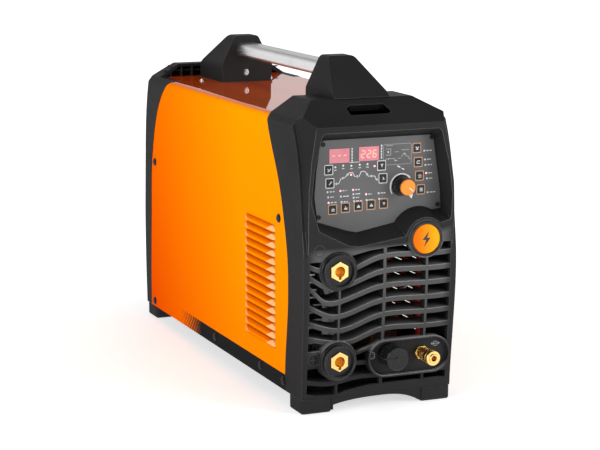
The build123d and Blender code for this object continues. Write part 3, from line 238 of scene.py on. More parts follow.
def grille_painted_light(g, colour, rubbed_lit_edges):
    """Paints light onto the grille's bars, highlights onto their upper edges and shade into the hood's slot.
    """
    x, y, z = g.axes()
    _, ahead, up = g.facing()
    off_centre = g.math("ABSOLUTE", x)
    # the zone of painted light ends on a line that climbs to the right under the panel's recess
    rise = g.math("MULTIPLY", g.math("MAXIMUM", g.math("SUBTRACT", x, LIT_ZONE_CLIMB_FROM), 0.0), LIT_ZONE_CLIMB)
    below_line = g.ramp(g.math("SUBTRACT", z, rise), LIT_ZONE_TOP, LIT_ZONE_TOP - 7 * MM)
    zone = g.product(below_line, g.ramp(off_centre, LIT_ZONE_HALF + 12 * MM, LIT_ZONE_HALF))
    front = g.product(zone, g.ramp(ahead, -0.5, -0.85), g.math("LESS_THAN", y, GRILLE_FACE))
    # painted light on the bars' front faces, brighter higher up
    pale = g.mix(g.ramp(z, 20 * MM, 200 * MM), (0.030, 0.030, 0.030), (0.098, 0.098, 0.098))
    colour = g.mix(front, colour, pale)
    # painted highlight on the slats' tops, fading into the dark behind the bars
    reach = g.ramp(y, SLAT_REAR, SLAT_FRONT)
    slat_highlight = g.product(zone, reach, reach, g.ramp(up, 0.4, 0.7), g.ramp(x, -60 * MM, 80 * MM, 0.5, 1.0))
    colour = g.mix(slat_highlight, colour, (0.34, 0.34, 0.34))
    # painted highlight on the bars' upper edges, where the rounded normal tips upward
    rounded = g.add("ShaderNodeSeparateXYZ")
    g.link(g.rounded_normal(1.7 * MM), rounded.inputs[0])
    rim = g.product(front, g.ramp(rounded.outputs[2], 0.12, 0.5), 0.8)
    colour = g.mix(rim, colour, (0.46, 0.46, 0.46))
    # a painted highlight line round the panel's recess
    around = g.product(g.within(z, RECESS_LOW, RECESS_HIGH), g.math("LESS_THAN", y, RECESS_RIM))
    colour = g.mix(g.product(g.edge_mask(1.5 * MM), around, 0.75), colour, (0.30, 0.30, 0.30))
    # painted shade: the slot in the hood, below the hood's own plane, is painted near black
    over_plane = g.math("SUBTRACT", z, g.math("MULTIPLY", y, HOOD_SLOPE))
    slot = g.product(
        g.math("LESS_THAN", over_plane, HOOD_LEVEL - 0.7 * MM), g.within(y, SLOT_FRONT, SLOT_REAR),
        g.math("LESS_THAN", off_centre, SLOT_HALF), g.math("GREATER_THAN", z, SLOT_LOWEST),
    )
    colour = g.mix(slot, colour, (0.001, 0.001, 0.001))
    calm = g.math("SUBTRACT", 1.0, g.math("MAXIMUM", slot, zone))
    return colour, g.product(rubbed_lit_edges, calm)


def foot_band(g, y, z):
    """Printed band along the cover's foot: solid at the front, then slanted bars towards the rear."""
    slant = g.math("MULTIPLY", g.math("ADD", y, g.math("MULTIPLY", z, -0.75)), 1.0 / BAND_PITCH)
    share = g.ramp(y, BAND_START, BAND_END, 1.02, -0.02)
    bars = g.math("LESS_THAN", g.math("FRACT", slant), share)
    return g.product(bars, g.math("LESS_THAN", z, BAND_TOP), g.math("LESS_THAN", y, BAND_END))


def louvre_painted_light(g, colour, x, y, z, up, outer):
    """Painted louvre light: pale reflections on domed ends, deep orange shade on bellies, dark red shadow
    under lips.
    """
    below_fold = g.math("LESS_THAN", z, LOUVRE_ZONE)
    off_centre = g.math("ABSOLUTE", x)
    stands_out = g.product(g.ramp(off_centre, SHEET_X + 0.05 * MM, SHEET_X + 0.35 * MM), below_fold)
    level = g.math("FRACT", g.math("DIVIDE", g.math("SUBTRACT", z, LOUVRE_LIP), LOUVRE_PITCH))
    taper = g.math("SUBTRACT", 1.0, level)
    # painted shade: each belly, under the lip above, is deep orange
    belly_shade = g.product(stands_out, g.ramp(level, 0.15, 0.45))
    colour = g.mix(belly_shade, colour, (0.80, 0.125, 0.001))
    # each end's pale cap is a painted reflection, widest at the lip; its edge is blurred over twice the given
    # softness
    ends = (
        (g.math("SUBTRACT", y, LOUVRE_FRONT), FRONT_REFLECTION, 1.0 * MM, 1.0, (0.96, 0.47, 0.19)),
        (g.math("SUBTRACT", LOUVRE_REAR, y), REAR_REFLECTION, 2.0 * MM, 0.85, (0.95, 0.36, 0.12)),
    )
    for from_end, cap, soft, strength, pale in ends:
        inside = g.ramp(g.math("SUBTRACT", from_end, g.math("MULTIPLY", taper, cap)), soft, -soft)
        colour = g.mix(g.product(stands_out, inside, outer, strength), colour, pale)
    # painted shadow: dark red where ambient occlusion finds the hollow under each lip
    hollow = g.add("ShaderNodeAmbientOcclusion", samples=6, only_local=True)
    hollow.inputs["Distance"].default_value = 6.0 * MM
    under_lip = g.product(g.ramp(level, 0.45, 0.8), below_fold)
    lip_shadow = g.ramp(hollow.outputs["AO"], 0.96, 0.62)
    colour = g.mix(g.product(lip_shadow, under_lip, outer), colour, (0.30, 0.012, 0.0))
    # painted shade on the lips' undersides
    lip = g.product(stands_out, g.ramp(up, -0.4, -0.8), outer)
    return g.mix(lip, colour, (0.28, 0.010, 0.0))


def orange_powder_coat():
    """Glossy powder coat: fine orange peel, painted light and shade, also on the louvres, and a printed foot
    band.
    """
    g = Graph("orange_powder_coat")
    x, y, z = g.axes()
    sideways, _, up = g.facing()
    # painted light: deep orange low at the rear, yellow orange high towards the front
    light_gradient = g.math("ADD", g.ramp(y, 260 * MM, -100 * MM, 0.0, 0.66), g.ramp(z, 20 * MM, 360 * MM, 0.0, 0.34))
    colour = g.mix(light_gradient, (0.80, 0.076, 0.0004), (0.97, 0.318, 0.0004))
    cloud = g.ramp(g.noise(6.0, 3.0), 0.3, 0.75, 0.0, 0.10)
    colour = g.mix(cloud, colour, (0.86, 0.14, 0.0006))
    specks = g.ramp(g.noise(900.0, 1.0), 0.74, 0.80, 0.0, 0.3)
    colour = g.mix(specks, colour, (0.55, 0.10, 0.004))
    colour = g.mix(foot_band(g, y, z), colour, (0.018, 0.018, 0.019))
    # painted shade: the sheet's inner faces are painted near black, so that the gaps behind the louvres' lips
    # are dark too
    beyond_x = g.math("MAXIMUM", g.math("SUBTRACT", g.math("ABSOLUTE", x), FOLD_X), 0.0)
    beyond_z = g.math("MAXIMUM", g.math("SUBTRACT", z, FOLD_Z), 0.0)
    square = g.math("ADD", g.product(beyond_x, beyond_x), g.product(beyond_z, beyond_z))
    inner = g.math("LESS_THAN", g.math("SQRT", square), FOLD_R - 0.6 * MM)
    turned_in = g.math("LESS_THAN", g.math("MULTIPLY", sideways, g.math("SIGN", x)), -0.05)
    unseen = g.math("MAXIMUM", inner, turned_in)
    colour = g.mix(unseen, colour, (0.010, 0.010, 0.010))
    outer = g.math("SUBTRACT", 1.0, unseen)
    # painted shade: the top face is painted darker and redder, and has the only clear shine
    upward = g.product(g.ramp(up, 0.55, 0.95), outer, g.math("GREATER_THAN", z, LOUVRE_ZONE))
    colour = g.mix(g.product(upward, 0.7), colour, (0.85, 0.060, 0.004))
    colour = louvre_painted_light(g, colour, x, y, z, up, outer)
    smear = g.noise(28.0, 5.0, 0.65)
    g.set(colour=colour, roughness=g.ramp(smear, 0.3, 0.75, 0.24, 0.36), specular=0.0)
    g.set(coat=upward, coat_roughness=g.ramp(smear, 0.4, 0.8, 0.02, 0.05))
    peel = g.math("ADD", g.math("MULTIPLY", g.noise(420.0, 2.0, 0.5), 0.5), g.noise(55.0, 2.0, 0.4))
    g.set(normal=g.bump(peel, 0.05, 0.05 * MM, g.rounded_normal(0.5 * MM)))
    return g.material


def brushed_metal(name, colour, stretch, rough, strength=0.12):
    """Drawn or brushed metal: long fine lines, soft stains and slightly brighter edges."""
    g = Graph(name)
    lines = g.noise(1.0, 3.0, 0.6, g.stretched(stretch))
    stain = g.noise(38.0, 4.0, 0.6)
    base = g.mix(g.ramp(lines, 0.3, 0.7), shade(colour, 0.86), shade(colour, 1.06))
    base = g.mix(g.ramp(stain, 0.5, 0.8, 0.0, 0.25), base, shade(colour, 0.7))
    coarse = g.stretched(tuple(share * 0.35 for share in stretch))
    scuffs = g.ramp(g.noise(1.0, 2.0, 0.5, coarse), 0.66, 0.72, 0.0, 0.12)
    roughness = g.math("ADD", g.ramp(lines, 0.25, 0.75, rough - 0.07, rough + 0.09), scuffs)
    g.set(colour=g.mix(g.edge_mask(0.8 * MM), base, shade(colour, 1.15)), metallic=1.0, roughness=roughness)
    g.set(normal=g.bump(lines, strength, 0.05 * MM, g.rounded_normal(0.4 * MM)))
    return g.material


def turned_metal(name, colour, rough, tarnish):
    """Turned and handled metal: faint tool rings along Y and patches of tarnish."""
    g = Graph(name)
    rings = g.noise(1.0, 2.0, 0.5, g.stretched((40.0, 2600.0, 40.0)))
    stain = g.noise(150.0, 5.0, 0.65)
    base = g.mix(g.ramp(stain, 0.35, 0.8, 0.0, tarnish), colour, shade(colour, 0.42))
    base = g.mix(g.edge_mask(0.5 * MM), base, shade(colour, 1.2))
    g.set(colour=base, metallic=1.0, roughness=g.ramp(stain, 0.3, 0.75, rough - 0.05, rough + 0.16))
    g.set(normal=g.bump(rings, 0.10, 0.03 * MM, g.rounded_normal(0.3 * MM)))
    return g.material


def panel_film():
    """Printed front film: even grey, fine matte grain, a faint sheen that wanders."""
    g = Graph("panel_film")
    wander = g.noise(14.0, 3.0)
    base = g.mix(g.ramp(wander, 0.3, 0.7), (0.088, 0.088, 0.090), (0.112, 0.112, 0.115))
    base = g.mix(g.ramp(g.noise(1100.0, 1.0), 0.45, 0.75, 0.0, 0.16), base, (0.17, 0.17, 0.175))
    g.set(colour=base, roughness=g.ramp(g.noise(60.0, 4.0), 0.3, 0.7, 0.42, 0.55), specular=0.3)
    g.set(normal=g.bump(g.noise(2200.0, 1.0), 0.12, 0.03 * MM, g.rounded_normal(0.3 * MM)))
    return g.material


def glowing(name, light, glow, base):
    """Lit plastic with a slightly uneven light."""
    g = Graph(name)
    uneven = g.ramp(g.noise(500.0, 2.0), 0.3, 0.7, 0.85, 1.1)
    g.set(colour=g.mix(uneven, shade(base, 0.85), base), roughness=0.25)
    g.set(emission=light, glow=g.product(uneven, glow))
    return g.material


def badge_enamel():
    """Domed orange enamel, redder on the left and golden on the right."""
    g = Graph("badge_enamel")
    middle = centre("badge_disc")[0] * MM
    span = g.ramp(g.axes()[0], middle - 13 * MM, middle + 13 * MM)
    cloud = g.ramp(g.noise(120.0, 3.0), 0.3, 0.7, 0.0, 0.12)
    colour = g.mix(span, (0.84, 0.155, 0.002), (0.93, 0.40, 0.008))
    gloss = g.ramp(g.noise(60.0, 3.0), 0.3, 0.7, 0.12, 0.2)
    g.set(colour=g.mix(cloud, colour, (0.80, 0.22, 0.004)), roughness=gloss, specular=0.06)
    g.set(normal=g.bump(g.noise(260.0, 2.0), 0.05, 0.04 * MM, g.rounded_normal(0.4 * MM)))
    return g.material


def display_window():
    """Tinted window under the digits, lit from behind, brighter at its rim."""
    g = Graph("display_window")
    cloud = g.noise(60.0, 2.0)
    base = g.mix(g.ramp(cloud, 0.3, 0.7), (0.52, 0.135, 0.17), (0.62, 0.19, 0.225))
    base = g.mix(g.edge_mask(1.1 * MM), base, (0.72, 0.22, 0.30))
    g.set(colour=base, roughness=g.ramp(g.noise(90.0, 3.0), 0.3, 0.7, 0.10, 0.2))
    g.set(coat=0.6, coat_roughness=0.05)
    g.set(emission=(0.80, 0.20, 0.25), glow=0.12)
    g.set(normal=g.bump(g.noise(300.0, 1.0), 0.03, 0.05 * MM, g.rounded_normal(0.4 * MM)))
    return g.material


def printed_ink(name, colour, rough=0.55):
    """Screen-printed ink with slightly thin patches."""
    g = Graph(name)
    thin = g.noise(700.0, 3.0, 0.6)
    g.set(colour=g.mix(g.ramp(thin, 0.35, 0.75, 0.0, 0.3), colour, shade(colour, 0.72)))
    g.set(roughness=g.ramp(thin, 0.3, 0.7, rough - 0.08, rough + 0.08))
    g.set(normal=g.bump(thin, 0.1, 0.02 * MM))
    return g.material


def circuit_board():
    """Green lacquered board with darker track areas."""
    g = Graph("circuit_board")
    cells = g.add("ShaderNodeTexVoronoi", feature="DISTANCE_TO_EDGE")
    g.link(g.coords, cells.inputs["Vector"])
    cells.inputs["Scale"].default_value = 160.0
    tracks = g.ramp(cells.outputs["Distance"], 0.03, 0.06)
    g.set(colour=g.mix(tracks, (0.03, 0.16, 0.06), (0.015, 0.085, 0.03)), roughness=0.35)
    g.set(normal=g.bump(tracks, 0.2, 0.05 * MM, g.rounded_normal(0.3 * MM)))
    return g.material


def wound_core():
    """Varnished winding: close turns over a dark core."""
    g = Graph("core_iron")
    turns = g.add("ShaderNodeTexWave", bands_direction="Z")
    g.link(g.coords, turns.inputs["Vector"])
    turns.inputs["Scale"].default_value = 140.0
    turns.inputs["Distortion"].default_value = 0.6
    g.set(colour=g.mix(turns.outputs["Fac"], (0.03, 0.025, 0.02), (0.30, 0.10, 0.03)), roughness=0.4)
    g.set(normal=g.bump(turns.outputs["Fac"], 0.4, 0.4 * MM, g.rounded_normal(0.5 * MM)))
    return g.material


def floor_material():
    """Pale matte floor that melts into the white backdrop away from the machine."""
    g = Graph("pale_floor")
    cloud = g.noise(3.0, 3.0)
    g.set(colour=g.mix(cloud, (0.88, 0.88, 0.88), (0.92, 0.92, 0.92)), roughness=0.6, specular=0.1)
    x, y, _ = g.axes()
    reach = g.math("SQRT", g.math("ADD", g.product(x, x), g.product(y, y)))
    g.set(emission=(1.0, 1.0, 1.0), glow=g.ramp(reach, 0.2, 0.95, 0.55, 1.0))
    return g.material


# the orange cover: its outer sides, its folds along the top and the foot band
cover_low, cover_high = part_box("top_cover")
SHEET_X = 101.0 * MM
FOLD_R = 8.0 * MM
FOLD_X, FOLD_Z = SHEET_X - FOLD_R, cover_high.z - FOLD_R
BAND_TOP = cover_low.z + 20.6 * MM
BAND_START, BAND_END = 52 * MM, 140 * MM    # the band breaks up between these
BAND_PITCH = 8.2 * MM

# the louvres: their lips' levels, their ends and how far the painted reflections on the ends reach in at a
# lip
LOUVRE_ZONE = FOLD_Z - 60 * MM
LOUVRE_LIP, LOUVRE_PITCH = 212.6 * MM, 10.43 * MM
LOUVRE_FRONT, LOUVRE_REAR = -222.0 * MM, -119.0 * MM
FRONT_REFLECTION, REAR_REFLECTION = 27 * MM, 16 * MM

# the front moulding: the grille's zone of painted light, the panel's recess and the slot in the sloping hood
LIT_ZONE_TOP, LIT_ZONE_HALF = 206 * MM, 84 * MM
LIT_ZONE_CLIMB, LIT_ZONE_CLIMB_FROM = 0.3, 30 * MM
GRILLE_FACE = -307.5 * MM
SLAT_REAR, SLAT_FRONT = -288.0 * MM, -310.5 * MM
RECESS_LOW, RECESS_HIGH, RECESS_RIM = 200 * MM, 348 * MM, -309.5 * MM
SLOT_FRONT, SLOT_REAR, SLOT_HALF, SLOT_LOWEST = -290.5 * MM, -267.2 * MM, 31.5 * MM, 335 * MM
HOOD_SLOPE = 0.45
HOOD_LEVEL = 377.6 * MM + HOOD_SLOPE * 254 * MM     # height of the hood's plane where it meets y = 0

# the sixth value sets how much lighter the edges are: rubbed edges plus a painted highlight
FRONT_PLASTIC = ((0.0225, 0.0226, 0.0229), 0.44, 1300.0, 0.22, 0.5, 5.0, 0.06, 0.15)
MOULDINGS = {
    "black_moulding": FRONT_PLASTIC,
    "black_steel": ((0.007, 0.007, 0.007), 0.34, 700.0, 0.10, 0.3, 14.0, 0.2, 0.3),
    "key_grey": ((0.022, 0.022, 0.023), 0.45, 1800.0, 0.10, 0.3, 2.5),
    "black_plastic": ((0.0065, 0.0065, 0.0068), 0.28, 1700.0, 0.08, 0.3, 26.0, 0.3, 0.4),
    "orange_plastic": ((0.92, 0.27, 0.03), 0.34, 1500.0, 0.05, 0.3, 1.04),
    "ring_grey": ((0.012, 0.012, 0.0122), 0.30, 1600.0, 0.06, 0.3, 16.0, 0.3),
    "cable_rubber": ((0.016, 0.016, 0.016), 0.55, 900.0, 0.2, 0.4, 1.5),
    "capacitor_sleeve": ((0.012, 0.02, 0.075), 0.3, 800.0, 0.05, 0.5, 1.4),
}
MATERIALS = {
    "orange_paint": orange_powder_coat(),
    "zinc_steel": brushed_metal("zinc_steel", (0.56, 0.57, 0.58), (260.0, 260.0, 260.0), 0.28),
    "brushed_aluminium": brushed_metal(
        "brushed_aluminium", (0.70, 0.70, 0.71), (1500.0, 14.0, 1500.0), 0.30, 0.2,
    ),
    "valve_metal": brushed_metal("valve_metal", (0.45, 0.46, 0.48), (200.0, 200.0, 200.0), 0.35),
    "brass": turned_metal("brass", (0.93, 0.62, 0.22), 0.17, 0.35),
    "bright_steel": turned_metal("bright_steel", (0.66, 0.66, 0.67), 0.24, 0.3),
    "panel_grey": panel_film(),
    "display_red": display_window(),
    "board_green": circuit_board(),
    "core_iron": wound_core(),
}
for name, values in MOULDINGS.items():
    MATERIALS[name] = moulded_plastic(name, *values)
INK_WHITE = printed_ink("ink_white", (0.74, 0.75, 0.76))
MARK_GREY = moulded_plastic("mark_grey", (0.058, 0.058, 0.058), 0.4, 1500.0, 0.08, 0.2, 1.5, 0.1)
INK_GREY = printed_ink("ink_grey", (0.36, 0.36, 0.37))
INK_ORANGE = printed_ink("ink_orange", (0.72, 0.36, 0.14))
INK_DARK = printed_ink("ink_dark", (0.02, 0.02, 0.02))
LED_ON = glowing("led_on", (1.0, 0.30, 0.32), 0.9, (1.0, 0.55, 0.55))
LED_OFF = printed_ink("led_off", (0.62, 0.62, 0.63), 0.3)
DIGIT_GLOW = glowing("digit_glow", (1.0, 0.24, 0.17), 0.85, (1.0, 0.36, 0.28))
WIRE_RED = moulded_plastic("wire_red", (0.45, 0.015, 0.012), 0.4, 900.0, 0.05, 0.3, 1.2)
WIRE_WHITE = moulded_plastic("wire_white", (0.62, 0.61, 0.58), 0.45, 900.0, 0.05, 0.3, 1.1)
WIRE_BLACK = moulded_plastic("wire_black", (0.02, 0.02, 0.02), 0.45, 900.0, 0.05, 0.3, 1.4)

for part in frame["record"]["subparts"]:
    node = NODES[part["node"]]
    node.data.materials.clear()
    node.data.materials.append(MATERIALS[part["material_slot"]])
NODES["front_bezel"].data.materials[0] = moulded_plastic("front_moulding", *FRONT_PLASTIC, grille=True)
NODES["badge_disc"].data.materials[0] = badge_enamel()


# ------------------------------------------------------------------ mesh helpers
def circle(sides):
    """Points round a unit circle."""
    return [(math.cos(2 * math.pi * i / sides), math.sin(2 * math.pi * i / sides)) for i in range(sides)]


class Solid:
    """Collects closed prisms and tubes into one mesh object."""

    def __init__(self):
        self.mesh = bmesh.new()

    def prism(self, outline, to_point, depth):
        """Closed prism over a flat outline; to_point(u, v, w) places it and w runs from 0 to depth."""
        near = [self.mesh.verts.new(to_point(u, v, 0.0)) for u, v in outline]
        far = [self.mesh.verts.new(to_point(u, v, depth)) for u, v in outline]
        count = len(outline)
        self.mesh.faces.new(near)
        self.mesh.faces.new(list(reversed(far)))
        for i in range(count):
            j = (i + 1) % count
            self.mesh.faces.new((near[j], near[i], far[i], far[j]))

    def loop_prism(self, outer, inner, to_point, depth):
        """Closed frame between two outlines with the same number of points."""
        rings = []
        for outline in (outer, inner):
            for w in (0.0, depth):
                rings.append([self.mesh.verts.new(to_point(u, v, w)) for u, v in outline])
        outer_near, outer_far, inner_near, inner_far = rings
        count = len(outer)
        for i in range(count):
            j = (i + 1) % count
            self.mesh.faces.new((outer_near[i], outer_near[j], inner_near[j], inner_near[i]))
            self.mesh.faces.new((outer_far[j], outer_far[i], inner_far[i], inner_far[j]))
            self.mesh.faces.new((outer_near[j], outer_near[i], outer_far[i], outer_far[j]))
            self.mesh.faces.new((inner_near[i], inner_near[j], inner_far[j], inner_far[i]))

    def stroke(self, points, width, to_point, depth):
        """A line of even width: one closed strip with mitred corners."""
        left, right = [], []
        for i, (u, v) in enumerate(points):
            before = Vector(points[i]) - Vector(points[i - 1]) if i else None
            after = Vector(points[i + 1]) - Vector(points[i]) if i + 1 < len(points) else None
            ways = [way.normalized() for way in (before, after) if way is not None]
            way = sum(ways, Vector((0.0, 0.0))).normalized()
            across = Vector((-way.y, way.x))
            reach = width / 2 / max(0.45, abs(across.dot(Vector((-ways[0].y, ways[0].x)))))
            left.append((u + across.x * reach, v + across.y * reach))
            right.append((u - across.x * reach, v - across.y * reach))
        for i in range(len(points) - 1):
            self.prism([left[i], right[i], right[i + 1], left[i + 1]], to_point, depth)

    def disc(self, u, v, radius, to_point, depth, sides=20):
        self.prism([(u + radius * c, v + radius * s) for c, s in circle(sides)], to_point, depth)

    def ring(self, u, v, outer, inner, to_point, depth, sides=32):
        rims = [[(u + radius * c, v + radius * s) for c, s in circle(sides)] for radius in (outer, inner)]
        self.loop_prism(*rims, to_point, depth)

    def tube(self, path, radius, sides=12):
        """Round tube along a smooth path, with closed ends."""
        side = Vector((0.31, 0.17, 0.93)).normalized()
        rings = []
        for i, point in enumerate(path):
            way = (path[min(i + 1, len(path) - 1)] - path[max(i - 1, 0)]).normalized()
            side = (side - way * side.dot(way)).normalized()
            other = way.cross(side)
            rim = [point + (side * c + other * s) * radius for c, s in circle(sides)]
            rings.append([self.mesh.verts.new(place) for place in rim])
        for a, b in zip(rings, rings[1:]):
            for k in range(sides):
                self.mesh.faces.new((a[k], a[(k + 1) % sides], b[(k + 1) % sides], b[k]))
        self.mesh.faces.new(list(reversed(rings[0])))
        self.mesh.faces.new(rings[-1])

    def place(self, name, material, body, smooth=False):
        bmesh.ops.recalc_face_normals(self.mesh, faces=self.mesh.faces)
        mesh = bpy.data.meshes.new(name)
        self.mesh.to_mesh(mesh)
        self.mesh.free()
        for face in mesh.polygons:
            face.use_smooth = smooth
        piece = bpy.data.objects.new(name, mesh)
        piece.data.materials.append(material)
        bpy.context.scene.collection.objects.link(piece)
        if body is not None:
            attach(piece, body)
        return piece


def smooth_path(points, steps=8):
    """Catmull-Rom curve through points, as vectors."""
    stops = [Vector(point) for point in points]
    stops = [stops[0] * 2 - stops[1], *stops, stops[-1] * 2 - stops[-2]]
    path = []
    for i in range(1, len(stops) - 2):
        a, b, c, d = stops[i - 1:i + 3]
        square, cube = 2 * a - 5 * b + 4 * c - d, 3 * b - a - 3 * c + d
        for k in range(steps):
            t = k / steps
            path.append(0.5 * (2 * b + (c - a) * t + square * t ** 2 + cube * t ** 3))
    path.append(stops[-2])
    return path


def cord(name, points, radius, material, body, sides=12):
    """A round cord along a smooth path; points and radius in mm."""
    run = Solid()
    run.tube([point * MM for point in smooth_path(points)], radius * MM, sides)
    return run.place(name, material, body, smooth=True)


def front_plane(y):
    """Places sketch points (mm, X and Z) on a plane that faces -Y; depth runs out of the face."""
    return lambda u, v, w: Vector((u * MM, y - w * MM, v * MM))


def face_of(name):
    """The sketch plane on a CAD node's foremost face."""
    return front_plane(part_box(name)[0].y)


# ------------------------------------------------------------------ control panel print
# from here on, places and sizes on a sketch plane are in mm
on_panel = face_of("control_panel")
PRINT = 0.06                 # ink height
FRAME_W, FRAME_H, FRAME_LINE = 11.6, 12.4, 0.75


def rectangle(u, v, width, height, corner=0.9):
    """Rectangle outline with cut corners."""
    w, h = width / 2, height / 2
    return [
        (u - w + corner, v - h), (u + w - corner, v - h), (u + w, v - h + corner), (u + w, v + h - corner),
        (u + w - corner, v + h), (u - w + corner, v + h), (u - w, v + h - corner), (u - w, v - h + corner),
    ]


ORANGE_KEYS = [
    "button_process", "button_trigger", "button_polarity", "button_menu", "button_mode", "button_material",
    "button_display", "button_current_type", "button_store",
]
GREY_KEYS = ["button_arc_start", "button_arc_end", "button_gas_test", "button_step"]


def key_frames(keys, name, ink):
    """Printed frames round a group of keys, as one piece."""
    frames = Solid()
    for key in keys:
        outer = rectangle(*centre(key), FRAME_W, FRAME_H)
        inner = rectangle(*centre(key), FRAME_W - 2 * FRAME_LINE, FRAME_H - 2 * FRAME_LINE, 0.6)
        frames.loop_prism(outer, inner, on_panel, PRINT)
    frames.place(name, ink, CASE)


key_frames(ORANGE_KEYS, "key_frames_orange", INK_ORANGE)
key_frames(GREY_KEYS, "key_frames_grey", INK_WHITE)

# pictograms on the keys, in key units: x and y run from -1 to 1 across the key's face
KEY_SIGNS = {
    "button_process": [
        [(-0.7, 0.3), (-0.35, 0.3), (0.0, -0.3), (0.35, 0.3), (0.7, 0.3)], [(-0.5, -0.45), (0.5, -0.45)],
    ],
    "button_trigger": [[(-0.6, 0.4), (0.6, 0.4)], [(-0.6, 0.4), (-0.6, -0.4), (0.6, -0.4)]],
    "button_polarity": [[(-0.6, 0.0), (-0.1, 0.35), (0.6, 0.1)], [(-0.6, -0.45), (0.6, -0.45)]],
    "button_menu": [[(-0.6, level), (0.6, level)] for level in (0.45, 0.0, -0.45)],
    "button_mode": [[(-0.6, -0.4), (0.6, -0.4)], [(-0.5, -0.1), (0.0, 0.3), (0.6, -0.05)]],
    "button_material": [
        [(-0.6, -0.45), (0.6, -0.45)], [(-0.6, -0.1), (0.6, -0.1)], [(-0.1, 0.2), (-0.1, 0.55)],
    ],
    "button_display": [
        [(0.0, 0.45), (-0.45, -0.35), (0.45, -0.35), (0.0, 0.45)], [(0.0, 0.2), (0.0, -0.3)],
    ],
    "button_current_type": [
        [(-0.6, -0.1), (0.6, -0.1)], [(0.0, 0.2), (0.0, 0.5)], [(-0.6, -0.4), (0.6, -0.4)],
    ],
    "button_store": [[(-0.4, 0.3), (0.4, 0.3)], [(-0.4, -0.1), (0.4, -0.1)]],
    "button_arc_start": [
        [(-0.6, 0.45), (-0.1, -0.1)], [(0.1, -0.4), (0.6, 0.45)], [(-0.6, -0.45), (0.0, -0.45)],
    ],
    "button_arc_end": [[(-0.5, -0.45), (0.6, 0.5)], [(0.15, 0.5), (0.6, 0.5)]],
    "button_gas_test": [
        [(-0.5, 0.45), (0.5, 0.45)], [(-0.3, 0.1), (0.3, 0.1)], [(0.0, 0.4), (0.0, -0.5)],
    ],
    "button_step": [[(-0.2, -0.45), (0.1, 0.0), (-0.2, 0.45)], [(0.25, -0.2), (0.6, -0.2)]],
}
SIGN_LINE = 0.85
SIGN_HALF_W, SIGN_HALF_H = 3.4, 3.7
for key, lines in KEY_SIGNS.items():
    u, v = centre(key)
    sign = Solid()
    for line in lines:
        points = [(u + SIGN_HALF_W * a, v + SIGN_HALF_H * b) for a, b in line]
        sign.stroke(points, SIGN_LINE, face_of(key), PRINT)
    sign.place(key.replace("button", "sign"), INK_WHITE, key + "_key")

# ------------------------------------------------------------------ indicator lamps, with dashes for legends
lamps_on, lamps_off, legends = Solid(), Solid(), Solid()
LAMPS_ON = [
    (0.4, 298.7), (-30.7, 289.9), (-44.8, 271.0), (-28.0, 271.2), (-10.6, 264.7), (-60.3, 257.4),
    (70.3, 285.9),
]
LAMPS_OFF = [
    (-61.8, 270.6), (-60.9, 264.1), (-44.1, 264.1), (-43.3, 257.4), (-27.6, 266.0), (-27.3, 261.6),
    (-26.6, 257.4), (-10.0, 257.7), (6.1, 265.0), (6.8, 258.0), (67.2, 313.8), (68.4, 302.9), (69.1, 296.1),
    (71.4, 279.2), (72.6, 261.9),
]
LAMP_R, LAMP_PROUD = 1.25, 0.35
for centres, lamps in ((LAMPS_ON, lamps_on), (LAMPS_OFF, lamps_off)):
    for u, v in centres:
        lamps.disc(u, v, LAMP_R, on_panel, LAMP_PROUD * 0.6)
        lamps.disc(u, v, LAMP_R * 0.7, on_panel, LAMP_PROUD)

# each legend is two dashes right of its lamp; the first two lit lamps sit on the weld cycle and have none
LEGEND_START, LEGEND_LINE = 3.0, 1.1
LEGEND_LENGTHS = (6.0, 4.2, 7.4, 5.0)
for row, (u, v) in enumerate(LAMPS_OFF + LAMPS_ON[2:]):
    length = LEGEND_LENGTHS[row % len(LEGEND_LENGTHS)]
    gap = 0.9 if row % 3 else 1.6
    near = u + LEGEND_START
    split = near + length * 0.45
    legends.stroke([(near, v), (split, v)], LEGEND_LINE, on_panel, PRINT)
    legends.stroke([(split + gap, v), (near + length, v)], LEGEND_LINE, on_panel, PRINT)

# legend column beside each display
COLUMN_STEP = 3.6
for u, top in ((-29.5, 321.5), (9.6, 323.5)):
    for step in range(5):
        v = top - COLUMN_STEP * step
        legends.disc(u, v, 0.95, on_panel, PRINT, 10)
        legends.stroke([(u - 0.9, v - 1.7), (u + 0.9, v - 1.5)], 0.6, on_panel, PRINT)


def diamond(u, v, size):
    """A printed diamond; size is half its width."""
    legends.prism([(u - size, v), (u, v - size), (u + size, v), (u, v + size)], on_panel, PRINT)


# weld cycle: gas, start, slope, current, slope, end, as one line with diamonds on its stages
CYCLE = [
    (-52.5, 280.0), (-47.0, 280.0), (-44.0, 286.0), (-39.5, 286.6), (-33.0, 292.6), (-28.5, 292.6),
    (-26.0, 287.4), (-20.0, 287.4), (-17.5, 293.0), (-12.5, 293.0), (-8.0, 286.8), (1.0, 286.4),
    (2.5, 281.2), (5.0, 281.2),
]
STAGES = [
    (-50.0, 280.0), (-41.5, 286.4), (-35.5, 290.2), (-22.6, 287.4), (-9.6, 289.4), (-3.6, 286.6),
    (3.4, 282.0),
]
legends.stroke(CYCLE, 0.75, on_panel, PRINT)
for u, v in STAGES:
    diamond(u, v, 1.7)
for u, v in ((-51.6, 300.2), (-41.2, 301.6), (-30.4, 300.8), (-19.4, 301.4), (-9.0, 301.5)):
    diamond(u, v, 1.55)
    legends.stroke([(u - 1.6, v - 3.6), (u + 1.6, v - 3.6)], 0.8, on_panel, PRINT)
legends.stroke([(-33.0, 305.0), (-19.0, 305.0)], 0.6, on_panel, PRINT)

